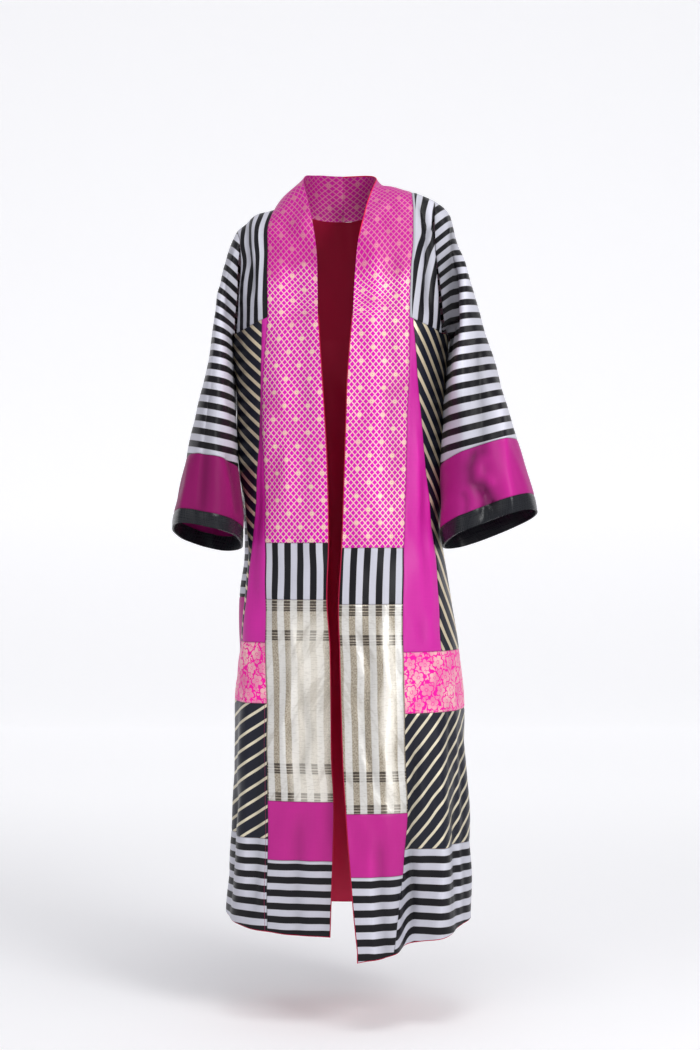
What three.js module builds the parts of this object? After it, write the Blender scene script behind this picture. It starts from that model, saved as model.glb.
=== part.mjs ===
// An open-front patchwork abaya, hanging hollow as it is worn.
// Millimetres, +Z up, the front faces -Y. Right and left are the wearer's: right is -X.
// The origin is between the shoulders, at the height where the garment is carried.
import * as THREE from 'three';

// Cloth walls and seams
const clothThickness = 1.6;
const liningThickness = 1;
const seamGap = 0.3;
const liningEase = 3;
const yokeSeamRoom = 0.3;
const underarmEase = 0.8;

// How square the sections are: 2 is an ellipse, more is squarer
const bodySquareness = 2.4;
const shoulderSquareness = 2.3;
const sleeveSquareness = 2.2;

// Places round the body, in degrees from the centre front
const sideSeamAngle = 96;
const centreBack = 180;

// Heights that both sides share
const armpitHeight = -266;
const yokeSeamAtBand = -240;
const evenColumnsBelow = 220;

// The neck seam of the back yoke
const neckSeamDepth = 80;
const bandCrown = 5;

// Grid divisions
const bandColumns = 4;
const goreColumns = 2;
const frontArmholeColumns = 3;
const underarmColumns = 3;
const backColumns = 7;
const yokeColumns = 5;
const neckColumns = 4;
const shoulderRows = 8;
const sleeveRowsPerStation = 2;
const cuffRows = 2;
const liningRowStep = 2;

// Depth of the back, the same for both sides
const backDepths = [
  { height: -266, depth: 118 },
  { height: -400, depth: 108 },
  { height: -560, depth: 106 },
  { height: -660, depth: 118 },
  { height: -770, depth: 132 },
  { height: -960, depth: 142 },
  { height: -1210, depth: 152 },
  { height: -1400, depth: 162 },
];

// The wearer's right side
const right = {
  name: 'right',
  sign: -1,
  sections: [
    { height: -266, half: 212, front: 128 },
    { height: -400, half: 202, front: 124 },
    { height: -560, half: 198, front: 122 },
    { height: -660, half: 194, front: 128 },
    { height: -770, half: 200, front: 136 },
    { height: -960, half: 205, front: 138 },
    { height: -1210, half: 215, front: 138 },
    { height: -1400, half: 226, front: 140 },
  ],
  // Distances from the centre plane: front edge and outer seam of the band
  fronts: [
    { height: -240, edge: 46.5, seam: 139.5 },
    { height: -330, edge: 41, seam: 148.6 },
    { height: -423, edge: 35, seam: 153 },
    { height: -512, edge: 30.5, seam: 148.6 },
    { height: -659, edge: 27.5, seam: 145 },
    { height: -764, edge: 30.6, seam: 145 },
    { height: -856, edge: 24.6, seam: 144 },
    { height: -1058, edge: 22, seam: 141 },
    { height: -1136, edge: 18, seam: 139.5 },
    { height: -1248, edge: 20, seam: 140 },
    { height: -1380, edge: 24.6, seam: 141.4 },
  ],
  goreSeams: [
    { height: -256, out: 151 },
    { height: -560, out: 163.5 },
    { height: -669, out: 173.4 },
    { height: -785, out: 184 },
    { height: -844, out: 191 },
  ],
  levels: {
    stripe: -659, tissue: -764, floral: -844, diagonal: -957,
    magenta: -1136, hemStripe: -1207, bandHem: -1245,
  },
  hem: [
    { angle: 0, height: -1384 },
    { angle: 40, height: -1376 },
    { angle: 90, height: -1360 },
    { angle: 180, height: -1370 },
  ],
  // Seams over the shoulder, from the yoke seam (rise 0) to the ridge (rise 1)
  shoulderSeams: [
    { rise: 0, seam: 139.5, armhole: 203 },
    { rise: 0.35, seam: 140, armhole: 197 },
    { rise: 0.6, seam: 140.5, armhole: 195 },
    { rise: 0.85, seam: 140.5, armhole: 195 },
    { rise: 1, seam: 132, armhole: 202 },
  ],
  ridge: [
    { out: 0, height: 20 },
    { out: 70, height: 8 },
    { out: 100, height: -8 },
    { out: 132, height: -25 },
    { out: 151, height: -32 },
    { out: 169, height: -40 },
    { out: 189, height: -56 },
    { out: 204, height: -70 },
    { out: 212, height: -80 },
  ],
  // The free neck edge of the band, from the chest to the side of the neck
  neckFront: [
    { out: 47, depth: -120, height: -180 },
    { out: 49, depth: -113, height: -118 },
    { out: 57, depth: -91, height: -60 },
    { out: 66, depth: -63, height: -16 },
    { out: 75.6, depth: -28, height: 24 },
  ],
  neckBack: [
    { out: 73, depth: 14, height: 41 },
    { out: 50, depth: 50, height: 48 },
    { out: 0, depth: 74, height: 50 },
  ],
  // Sleeve stations, from the armhole to the end of the cuff
  sleeve: [
    { station: 0, outerX: 202, outerZ: -70, innerX: 211, innerZ: -267, depth: 0, half: 64, drop: 0 },
    { station: 1, outerX: 220, outerZ: -110, innerX: 213, innerZ: -284, depth: -4, half: 80, drop: 6 },
    { station: 2, outerX: 230, outerZ: -170, innerX: 215, innerZ: -308, depth: -10, half: 92, drop: 12 },
    { station: 3, outerX: 239, outerZ: -225, innerX: 216, innerZ: -340, depth: -18, half: 101, drop: 18 },
    { station: 4, outerX: 252, outerZ: -310, innerX: 216, innerZ: -385, depth: -30, half: 106, drop: 24 },
    { station: 5, outerX: 270, outerZ: -400, innerX: 215, innerZ: -445, depth: -44, half: 106, drop: 32 },
    { station: 6, outerX: 291, outerZ: -508, innerX: 211, innerZ: -525, depth: -58, half: 103, drop: 38 },
    { station: 7, outerX: 315, outerZ: -609, innerX: 201, innerZ: -635, depth: -74, half: 98, drop: 42 },
    { station: 8, outerX: 318, outerZ: -635, innerX: 196, innerZ: -663, depth: -78, half: 96, drop: 43 },
  ],
};

// The wearer's left side, whose leg is half a step forward
const left = {
  name: 'left',
  sign: 1,
  sections: [
    { height: -266, half: 200, front: 128 },
    { height: -400, half: 193, front: 126 },
    { height: -560, half: 188, front: 128 },
    { height: -660, half: 190, front: 138 },
    { height: -770, half: 206, front: 150 },
    { height: -860, half: 219, front: 158 },
    { height: -960, half: 228, front: 166 },
    { height: -1100, half: 233, front: 178 },
    { height: -1210, half: 236, front: 188 },
    { height: -1400, half: 240, front: 200 },
  ],
  fronts: [
    { height: -240, edge: 18, seam: 124 },
    { height: -342, edge: 9.6, seam: 123.5 },
    { height: -435, edge: 6.2, seam: 120 },
    { height: -551, edge: 2.5, seam: 116.5 },
    { height: -668, edge: -1.4, seam: 114 },
    { height: -774, edge: -7.2, seam: 110.6 },
    { height: -850, edge: -5.2, seam: 111 },
    { height: -1053, edge: 0.5, seam: 115 },
    { height: -1150, edge: 6.2, seam: 120 },
    { height: -1266, edge: 15, seam: 118 },
    { height: -1340, edge: 21, seam: 108 },
    { height: -1400, edge: 27.5, seam: 96 },
  ],
  goreSeams: [
    { height: -254, out: 131 },
    { height: -579, out: 161 },
    { height: -691, out: 173 },
    { height: -766, out: 180 },
    { height: -860, out: 184 },
  ],
  levels: {
    stripe: -668, tissue: -772, floral: -860, diagonal: -972,
    magenta: -1152, hemStripe: -1220, bandHem: -1266,
  },
  hem: [
    { angle: 0, height: -1421 },
    { angle: 22, height: -1405 },
    { angle: 40, height: -1388 },
    { angle: 90, height: -1362 },
    { angle: 180, height: -1370 },
  ],
  shoulderSeams: [
    { rise: 0, seam: 124, armhole: 187 },
    { rise: 0.4, seam: 126, armhole: 178 },
    { rise: 0.6, seam: 130, armhole: 173 },
    { rise: 0.85, seam: 132, armhole: 172 },
    { rise: 1, seam: 130, armhole: 174 },
  ],
  ridge: [
    { out: 0, height: 20 },
    { out: 70, height: 17 },
    { out: 100, height: 12 },
    { out: 130, height: 6 },
    { out: 158, height: -1 },
    { out: 174, height: -8 },
    { out: 190, height: -20 },
    { out: 200, height: -30 },
  ],
  neckFront: [
    { out: 20.8, depth: -119, height: -180 },
    { out: 28, depth: -108, height: -97 },
    { out: 39, depth: -84, height: -45 },
    { out: 48, depth: -58, height: -10 },
    { out: 57, depth: -34, height: 15 },
  ],
  neckBack: [
    { out: 64, depth: 4, height: 36 },
    { out: 46, depth: 46, height: 47 },
    { out: 0, depth: 74, height: 50 },
  ],
  sleeve: [
    { station: 0, outerX: 174, outerZ: -8, innerX: 199, innerZ: -267, depth: 0, half: 62, drop: 0 },
    { station: 1, outerX: 203, outerZ: -40, innerX: 202, innerZ: -280, depth: -4, half: 78, drop: 6 },
    { station: 2, outerX: 218, outerZ: -95, innerX: 204, innerZ: -300, depth: -10, half: 88, drop: 12 },
    { station: 3, outerX: 233, outerZ: -145, innerX: 205, innerZ: -330, depth: -18, half: 94, drop: 18 },
    { station: 4, outerX: 258, outerZ: -230, innerX: 204, innerZ: -375, depth: -30, half: 96, drop: 24 },
    { station: 5, outerX: 287, outerZ: -336, innerX: 200, innerZ: -425, depth: -44, half: 92, drop: 30 },
    { station: 6, outerX: 327, outerZ: -471, innerX: 192, innerZ: -516, depth: -58, half: 82, drop: 34 },
    { station: 7, outerX: 356, outerZ: -573, innerX: 190, innerZ: -634, depth: -72, half: 72, drop: 36 },
    { station: 8, outerX: 363, outerZ: -602, innerX: 190, innerZ: -665, depth: -76, half: 69, drop: 36 },
  ],
};

// Rows between two levels, from the yoke seam down to the hem
const levelRows = [
  { from: 'yoke', to: 'stripe', rows: 10 },
  { from: 'stripe', to: 'tissue', rows: 3 },
  { from: 'tissue', to: 'floral', rows: 2 },
  { from: 'floral', to: 'diagonal', rows: 3 },
  { from: 'diagonal', to: 'magenta', rows: 5 },
  { from: 'magenta', to: 'hemStripe', rows: 2 },
  { from: 'hemStripe', to: 'bandHem', rows: 1 },
  { from: 'bandHem', to: 'hem', rows: 4 },
];
const backFloralRowsBelowFloral = 1;

// Large folds of the body: place and width round it in degrees, depth out (+) or in (-)
const bodyFolds = [
  { side: 'right', angle: 86, width: 13, top: -470, bottom: -960, depth: -26 },
  { side: 'right', angle: 60, width: 9, top: -700, bottom: -1500, depth: 7 },
  { side: 'right', angle: 76, width: 9, top: -960, bottom: -1500, depth: -10 },
  { side: 'right', angle: 112, width: 11, top: -560, bottom: -1000, depth: 9 },
  { side: 'right', angle: 120, width: 12, top: -820, bottom: -1560, depth: 12 },
  { side: 'right', angle: 148, width: 12, top: -500, bottom: -1560, depth: -12 },
  { side: 'left', angle: 31, width: 9, top: -1120, bottom: -1640, depth: -44 },
  { side: 'left', angle: 50, width: 9, top: -860, bottom: -1560, depth: 9 },
  { side: 'left', angle: 63, width: 8, top: -940, bottom: -1560, depth: -10 },
  { side: 'left', angle: 80, width: 9, top: -900, bottom: -1560, depth: 6 },
  { side: 'left', angle: 112, width: 12, top: -760, bottom: -1560, depth: -14 },
  { side: 'left', angle: 136, width: 12, top: -620, bottom: -1560, depth: 10 },
  { side: 'left', angle: 158, width: 11, top: -480, bottom: -1560, depth: -9 },
];

// Large folds of the sleeves: place round the sleeve in degrees from its outer line over the front
const sleeveFolds = [
  { side: 'right', angle: 75, width: 22, first: 2, last: 9.5, depth: 6 },
  { side: 'right', angle: 300, width: 24, first: 2.5, last: 9.5, depth: -9 },
  { side: 'left', angle: 150, width: 20, first: 0.4, last: 5.4, depth: -14 },
  { side: 'left', angle: 112, width: 18, first: 0.6, last: 7.5, depth: 8 },
  { side: 'left', angle: 285, width: 24, first: 2.5, last: 9.5, depth: -8 },
];

// Materials
const finishes = {
  lattice: { color: 0xdd33bb, roughness: 0.45, metalness: 0.1 },
  stripe: { color: 0x8d8d94, roughness: 0.4, metalness: 0 },
  tissue: { color: 0xbdb39c, roughness: 0.35, metalness: 0.4 },
  magenta: { color: 0xb42a88, roughness: 0.4, metalness: 0 },
  diagonal: { color: 0x2b3044, roughness: 0.4, metalness: 0.1 },
  floral: { color: 0xff3aa6, roughness: 0.45, metalness: 0.1 },
  cuff: { color: 0x22252a, roughness: 0.35, metalness: 0 },
  lining: { color: 0xb01040, roughness: 0.5, metalness: 0 },
};

// A smooth curve through one column of a table
function read(table, key, column, at) {
  const rising = table[table.length - 1][key] > table[0][key] ? 1 : -1;
  const before = (row) => (at - row[key]) * rising <= 0;
  if (before(table[0])) return table[0][column];
  const next = table.findIndex(before);
  if (next < 0) return table[table.length - 1][column];
  const slope = (a, b) => (table[b][column] - table[a][column]) / (table[b][key] - table[a][key]);
  const clamp = (index) => Math.min(Math.max(index, 0), table.length - 1);
  const span = table[next][key] - table[next - 1][key];
  const t = (at - table[next - 1][key]) / span;
  const startSlope = slope(clamp(next - 2), next) * span;
  const endSlope = slope(next - 1, clamp(next + 1)) * span;
  const start = table[next - 1][column];
  const end = table[next][column];
  const rise = end - start;
  return start + t * (startSlope + t * (3 * rise - 2 * startSlope - endSlope
    + t * (startSlope + endSlope - 2 * rise)));
}

const mix = (a, b, share) => a + (b - a) * share;
const radians = (degrees) => degrees * Math.PI / 180;
const degrees = (angle) => angle * 180 / Math.PI;
const smoothstep = (share) => share * share * (3 - 2 * share);
const clampShare = (share) => Math.min(Math.max(share, 0), 1);
const rounded = (value, squareness) => Math.sign(value) * Math.abs(value) ** (2 / squareness);
const fullness = (share, squareness) => (1 - Math.min(share, 1) ** squareness) ** (1 / squareness);

// How strongly a fold acts between its two ends
function foldStrength(at, first, last) {
  const share = (at - first) / (last - first);
  return share <= 0 || share >= 1 ? 0 : Math.sin(Math.PI * share) ** 2;
}

function foldDepth(side, angle, height) {
  let depth = 0;
  for (const fold of bodyFolds) {
    if (fold.side !== side.name) continue;
    const across = (angle - fold.angle) / fold.width;
    depth += fold.depth * Math.exp(-across * across) * foldStrength(height, fold.top, fold.bottom);
  }
  return depth;
}

// A point of the body's outer surface, at an angle from the centre front
function bodyPoint(side, angle, height) {
  const level = Math.min(height, armpitHeight);
  const half = read(side.sections, 'height', 'half', level);
  const front = read(side.sections, 'height', 'front', level);
  const back = read(backDepths, 'height', 'depth', level);
  const turn = radians(angle);
  const out = half * rounded(Math.sin(turn), bodySquareness);
  let depth = (angle < 90 ? -front : -back) * rounded(Math.cos(turn), bodySquareness);
  if (height > armpitHeight) {
    const ridge = read(side.ridge, 'out', 'height', out);
    depth *= fullness((height - armpitHeight) / (ridge - armpitHeight), shoulderSquareness);
  }
  const fold = foldDepth(side, angle, height);
  return new THREE.Vector3(
    side.sign * (out + fold * Math.sin(turn)),
    depth - fold * Math.cos(turn),
    height,
  );
}

// The angle whose point lies this far from the centre plane, on the front
function frontAngle(side, out, height) {
  const half = read(side.sections, 'height', 'half', Math.min(height, armpitHeight));
  const share = Math.sign(out) * Math.abs(out / half) ** (bodySquareness / 2);
  return degrees(Math.asin(share));
}

// A point over the shoulder: rise 0 at the armpit level, 1 on the ridge
function shoulderPoint(side, out, rise, faces) {
  const ridge = read(side.ridge, 'out', 'height', out);
  const flank = frontAngle(side, out, armpitHeight);
  const foot = bodyPoint(side, faces === 'front' ? flank : centreBack - flank, armpitHeight);
  return new THREE.Vector3(
    side.sign * out,
    foot.y * fullness(rise, shoulderSquareness),
    mix(armpitHeight, ridge, rise),
  );
}

// Rise of an evenly spaced row of the shoulder, between two rises
function rowRise(share, first, last) {
  const turnOf = (rise) => Math.asin(rise ** (shoulderSquareness / 2));
  return Math.sin(mix(turnOf(first), turnOf(last), share)) ** (2 / shoulderSquareness);
}

function yokeSeamHeight(side, out) {
  const seam = side.shoulderSeams[0].seam;
  const armhole = side.shoulderSeams[0].armhole;
  return mix(yokeSeamAtBand, armpitHeight, clampShare((out - seam) / (armhole - seam)));
}

// Column places round one side at a height: front edge, band seam, gore seam, armhole, side seam, back
function columnAngles(side, height) {
  const edge = frontAngle(side, read(side.fronts, 'height', 'edge', height), height);
  const seam = frontAngle(side, read(side.fronts, 'height', 'seam', height), height);
  const gore = frontAngle(side, read(side.goreSeams, 'height', 'out', height), height);
  const armhole = frontAngle(side, side.shoulderSeams[0].armhole, armpitHeight);
  const even = smoothstep(clampShare((armpitHeight - height) / evenColumnsBelow));
  const angles = [];
  const spread = (from, to, columns) => {
    for (let i = 1; i <= columns; i += 1) angles.push(mix(from, to, i / columns));
  };
  angles.push(edge);
  spread(edge, seam, bandColumns);
  spread(seam, gore, goreColumns);
  const frontShare = frontArmholeColumns / (frontArmholeColumns + underarmColumns);
  const frontTurn = mix(armhole, mix(gore, sideSeamAngle, frontShare), even);
  spread(gore, frontTurn, frontArmholeColumns);
  spread(frontTurn, sideSeamAngle, underarmColumns);
  const backShare = underarmColumns / (underarmColumns + backColumns);
  const backTurn = mix(centreBack - armhole, mix(sideSeamAngle, centreBack, backShare), even);
  spread(sideSeamAngle, backTurn, underarmColumns);
  spread(backTurn, centreBack, backColumns);
  return angles;
}

const seamColumn = bandColumns;
const goreColumn = seamColumn + goreColumns;
const armholeColumn = goreColumn + frontArmholeColumns;
const sideColumn = armholeColumn + underarmColumns;
const backArmholeColumn = sideColumn + underarmColumns;
const lastColumn = backArmholeColumn + backColumns;

// Row numbers of the levels
const levelRow = { yoke: 0 };
for (const stretch of levelRows) levelRow[stretch.to] = levelRow[stretch.from] + stretch.rows;
levelRow.backFloral = levelRow.floral + backFloralRowsBelowFloral;

// The height of a row: each side has its own levels, and they meet at the centre back
function rowHeight(side, row, column, angle) {
  const levelHeight = (of, name) => {
    if (name === 'hem') return read(of.hem, 'angle', 'height', angle);
    if (name !== 'yoke') return of.levels[name];
    if (column >= armholeColumn) return armpitHeight;
    const out = read(of.fronts, 'height', 'seam', yokeSeamAtBand);
    const place = column <= seamColumn ? out : Math.abs(bodyPoint(of, angle, armpitHeight).x);
    return yokeSeamHeight(of, place);
  };
  const heightOn = (of) => {
    const stretch = levelRows.find((item) => row <= levelRow[item.to]);
    const share = (row - levelRow[stretch.from]) / stretch.rows;
    return mix(levelHeight(of, stretch.from), levelHeight(of, stretch.to), share);
  };
  const towardsBack = smoothstep(clampShare((angle - sideSeamAngle) / (centreBack - sideSeamAngle)));
  const other = side === right ? left : right;
  return mix(heightOn(side), mix(heightOn(side), heightOn(other), 0.5), towardsBack);
}

// The lattice of points from the yoke seam to the hem: rows of columns
function bodyLattice(side) {
  const lattice = [];
  for (let row = 0; row <= levelRow.hem; row += 1) {
    const points = [];
    for (let column = 0; column <= lastColumn; column += 1) {
      let height = armpitHeight;
      let angle = 0;
      for (let pass = 0; pass < 4; pass += 1) {
        angle = columnAngles(side, height)[column];
        height = rowHeight(side, row, column, angle);
      }
      points.push(bodyPoint(side, angle, height));
    }
    lattice.push(points);
  }
  return lattice;
}

// The front yoke: rows from its lower seam to the shoulder ridge
function yokeGrid(side) {
  const rows = [];
  for (let row = 0; row <= shoulderRows; row += 1) {
    const points = [];
    for (let column = 0; column <= yokeColumns; column += 1) {
      const across = column / yokeColumns;
      const foot = mix(side.shoulderSeams[0].seam, side.shoulderSeams[0].armhole, across);
      const ridge = read(side.ridge, 'out', 'height', foot);
      const start = yokeSeamHeight(side, foot) + yokeSeamRoom;
      const first = (start - armpitHeight) / (ridge - armpitHeight);
      const rise = rowRise(row / shoulderRows, first, 1);
      const seam = read(side.shoulderSeams, 'rise', 'seam', rise);
      const armhole = read(side.shoulderSeams, 'rise', 'armhole', rise);
      points.push(shoulderPoint(side, mix(seam, armhole, across), rise, 'front'));
    }
    rows.push(points);
  }
  return rows;
}

// Half of the back yoke: columns from the armhole to the neck side, then to the centre back
function backYokeGrid(side) {
  const ridgeSeam = side.shoulderSeams[side.shoulderSeams.length - 1].seam;
  const rows = [];
  for (let row = 0; row <= shoulderRows; row += 1) {
    const points = [];
    for (let column = 0; column <= yokeColumns + neckColumns; column += 1) {
      const inNeck = Math.max(column - yokeColumns, 0) / neckColumns;
      const innerOut = ridgeSeam * (1 - inNeck);
      const neckDepth = neckSeamDepth * Math.sqrt(1 - (1 - inNeck) ** 2);
      const footDepth = shoulderPoint(side, innerOut, 0, 'back').y;
      const top = fullness(neckDepth / footDepth, shoulderSquareness);
      const rise = rowRise(row / shoulderRows, 0, top);
      const armhole = read(side.shoulderSeams, 'rise', 'armhole', rise);
      const out = column < yokeColumns ? mix(armhole, ridgeSeam, column / yokeColumns) : innerOut;
      points.push(shoulderPoint(side, out, rise, 'back'));
    }
    rows.push(points);
  }
  return rows;
}

// The band above the yoke seam: over the shoulder and round to the centre back
function upperBand(side, lattice, yoke, backYoke) {
  const toPoint = (row) => new THREE.Vector3(side.sign * row.out, row.depth, row.height);
  const foot = lattice[0];
  const neckPoints = [foot[0], ...side.neckFront.map(toPoint), ...side.neckBack.map(toPoint)];
  const edge = new THREE.CatmullRomCurve3(neckPoints, false, 'centripetal');
  const frontShare = side.neckFront.length / (neckPoints.length - 1);
  const backTop = backYoke[shoulderRows];
  const rows = [];
  for (let row = 0; row <= shoulderRows + neckColumns; row += 1) {
    const onFront = Math.min(row / shoulderRows, 1);
    const onBack = Math.max(row - shoulderRows, 0) / neckColumns;
    const inner = edge.getPoint(onFront * frontShare + onBack * (1 - frontShare));
    const outer = onBack > 0 ? backTop[yokeColumns + row - shoulderRows] : yoke[row][0];
    const points = [];
    for (let column = 0; column <= bandColumns; column += 1) {
      const across = column / bandColumns;
      const straight = foot[0].clone().lerp(foot[seamColumn], across);
      const bulge = foot[column].clone().sub(straight).multiplyScalar(1 - onFront);
      const crown = bandCrown * 4 * across * (1 - across) * onFront;
      const lift = new THREE.Vector3(side.sign * 0.6 * (1 - onBack), onBack, 0.8 * (1 - onBack));
      const point = inner.clone().lerp(outer, across).add(bulge);
      points.push(column === bandColumns ? outer.clone() : point.addScaledVector(lift, crown));
    }
    rows.push(points);
  }
  return rows;
}

// The free form of a sleeve: angle 0 on its outer line, 90 at the front, 180 inside, 270 behind
function sleeveForm(side, angle, station) {
  const value = (column) => read(side.sleeve, 'station', column, station);
  const outer = new THREE.Vector3(side.sign * value('outerX'), value('depth'), value('outerZ'));
  const inner = new THREE.Vector3(side.sign * value('innerX'), value('depth'), value('innerZ'));
  const centre = outer.clone().lerp(inner, 0.5);
  const across = outer.clone().sub(centre);
  const forward = new THREE.Vector3(0, -value('half'), value('drop') / 2);
  let swell = 1;
  for (const fold of sleeveFolds) {
    if (fold.side !== side.name) continue;
    const place = (angle - fold.angle) / fold.width;
    const strength = foldStrength(station, fold.first, fold.last);
    swell += fold.depth / value('half') * Math.exp(-place * place) * strength;
  }
  return centre
    .addScaledVector(across, swell * rounded(Math.cos(radians(angle)), sleeveSquareness))
    .addScaledVector(forward, swell * rounded(Math.sin(radians(angle)), sleeveSquareness));
}

// The armhole ring, from the ridge down the front, under the arm and up the back
function armholeRing(side, lattice, yoke, backYoke) {
  const ring = [];
  for (let row = shoulderRows; row > 0; row -= 1) {
    ring.push({ point: yoke[row][yokeColumns], angle: 125 * (1 - row / shoulderRows) });
  }
  const underarm = 2 * underarmColumns;
  for (let step = 0; step <= underarm; step += 1) {
    const column = armholeColumn + step;
    const point = lattice[0][column].clone();
    const turn = new THREE.Vector3(point.x / 2, point.y, 0).normalize();
    point.addScaledVector(turn, underarmEase);
    ring.push({ point, angle: mix(125, 235, step / underarm) });
  }
  for (let row = 1; row < shoulderRows; row += 1) {
    ring.push({ point: backYoke[row][0], angle: mix(235, 360, row / shoulderRows) });
  }
  return ring;
}

// Rows of the sleeve between two stations
function sleeveGrid(side, ring, first, last, rows) {
  const fadeStations = 3;
  const grid = [];
  for (let row = 0; row <= rows; row += 1) {
    const station = mix(first, last, row / rows);
    const fade = clampShare(1 - station / fadeStations) ** 2;
    grid.push(ring.map(({ point, angle }) => sleeveForm(side, angle, station)
      .add(point.clone().sub(sleeveForm(side, angle, 0)).multiplyScalar(fade))));
  }
  return grid;
}

// Panels: rows of columns, facing out by turn, closed where the columns run round a tube
const panels = [];
const linings = [];
function addPanel(name, finish, rows, turn, closed = false) {
  panels.push({ name, finish, rows, turn, closed });
}

const part = (lattice, fromRow, toRow, fromColumn, toColumn) => lattice
  .slice(fromRow, toRow + 1)
  .map((row) => row.slice(fromColumn, toColumn + 1));

const halves = [right, left].map((side) => {
  const lattice = bodyLattice(side);
  const yoke = yokeGrid(side);
  const backYoke = backYokeGrid(side);
  return { side, lattice, yoke, backYoke, band: upperBand(side, lattice, yoke, backYoke) };
});

for (const { side, lattice, yoke, backYoke, band } of halves) {
  const named = (piece) => `${side.name}_${piece}`;
  const turn = side.sign;
  const bandPart = (from, to) => part(lattice, levelRow[from], levelRow[to], 0, seamColumn);
  const frontPart = (from, to, first, last) => part(
    lattice, levelRow[from], levelRow[to], first, last,
  );
  const wholeBand = [...band.slice(1).reverse(), ...bandPart('yoke', 'stripe')];
  addPanel(named('band_lattice'), 'lattice', wholeBand, turn);
  addPanel(named('band_stripe'), 'stripe', bandPart('stripe', 'tissue'), turn);
  addPanel(named('band_tissue'), 'tissue', bandPart('tissue', 'magenta'), turn);
  addPanel(named('band_magenta'), 'magenta', bandPart('magenta', 'bandHem'), turn);
  addPanel(named('band_hem'), 'stripe', bandPart('bandHem', 'hem'), turn);
  addPanel(named('yoke'), 'stripe', yoke, -turn);
  addPanel(named('gore'), 'magenta', frontPart('yoke', 'floral', seamColumn, goreColumn), turn);
  const sidePanel = frontPart('yoke', 'floral', goreColumn, sideColumn);
  addPanel(named('side_diagonal'), 'diagonal', sidePanel, turn);
  const across = [seamColumn, sideColumn];
  addPanel(named('floral'), 'floral', frontPart('floral', 'diagonal', ...across), turn);
  addPanel(named('lower_diagonal'), 'diagonal', frontPart('diagonal', 'hemStripe', ...across), turn);
  addPanel(named('hem_stripe'), 'stripe', frontPart('hemStripe', 'hem', ...across), turn);

  const ring = armholeRing(side, lattice, yoke, backYoke);
  const sleevePieces = [
    { piece: 'sleeve', finish: 'stripe', first: 0, last: 6 },
    { piece: 'sleeve_band', finish: 'magenta', first: 6, last: 7 },
    { piece: 'cuff', finish: 'cuff', first: 7, last: 8 },
  ];
  for (const { piece, finish, first, last } of sleevePieces) {
    const rows = Math.max(sleeveRowsPerStation * (last - first), cuffRows);
    addPanel(named(piece), finish, sleeveGrid(side, ring, first, last, rows), -turn, true);
  }
  const facing = sleeveGrid(side, ring, 7, 8, cuffRows);
  linings.push({ name: named('cuff_facing'), finish: 'cuff', rows: facing, closed: true, ease: seamGap });
  const front = part(lattice, 0, levelRow.hem, 0, sideColumn);
  linings.push({ name: `lining_${side.name}`, finish: 'lining', rows: front, ease: liningEase });
}

// The back crosses from one side to the other
const [rightHalf, leftHalf] = halves;
function acrossBack(piece, fromRow, toRow, fromColumn, toColumn) {
  const rightRows = part(rightHalf[piece], fromRow, toRow, fromColumn, toColumn);
  const leftRows = part(leftHalf[piece], fromRow, toRow, fromColumn, toColumn);
  return leftRows.map((row, index) => [...row, ...rightRows[index].slice(0, -1).reverse()]);
}
const backPart = (from, to) => acrossBack(
  'lattice', levelRow[from], levelRow[to], sideColumn, lastColumn,
);
addPanel('back_yoke', 'stripe', acrossBack('backYoke', 0, shoulderRows, 0, yokeColumns + neckColumns), -1);
addPanel('back_stripe', 'stripe', backPart('yoke', 'tissue'), 1);
addPanel('back_magenta', 'magenta', backPart('tissue', 'backFloral'), 1);
addPanel('back_floral', 'floral', backPart('backFloral', 'diagonal'), 1);
addPanel('back_diagonal', 'diagonal', backPart('diagonal', 'hemStripe'), 1);
addPanel('back_hem', 'stripe', backPart('hemStripe', 'hem'), 1);
linings.push({
  name: 'lining_back', finish: 'lining', rows: backPart('yoke', 'hem'), ease: liningEase,
});

// Normals shared by all panels that meet at a point
const pointKey = (point) => point.toArray().map((value) => Math.round(value * 50)).join(',');
const sharedNormals = new Map();
for (const { rows, turn, closed } of panels) {
  const columns = rows[0].length;
  for (let row = 0; row + 1 < rows.length; row += 1) {
    for (let column = 0; column < (closed ? columns : columns - 1); column += 1) {
      const next = (column + 1) % columns;
      const corners = [rows[row][column], rows[row][next], rows[row + 1][next], rows[row + 1][column]];
      const across = corners[2].clone().sub(corners[0]);
      const other = corners[3].clone().sub(corners[1]);
      const normal = other.cross(across).multiplyScalar(turn);
      for (const corner of corners) {
        const key = pointKey(corner);
        if (!sharedNormals.has(key)) sharedNormals.set(key, new THREE.Vector3());
        sharedNormals.get(key).add(normal);
      }
    }
  }
}
const normalAt = (point) => sharedNormals.get(pointKey(point)).clone().normalize();

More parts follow.
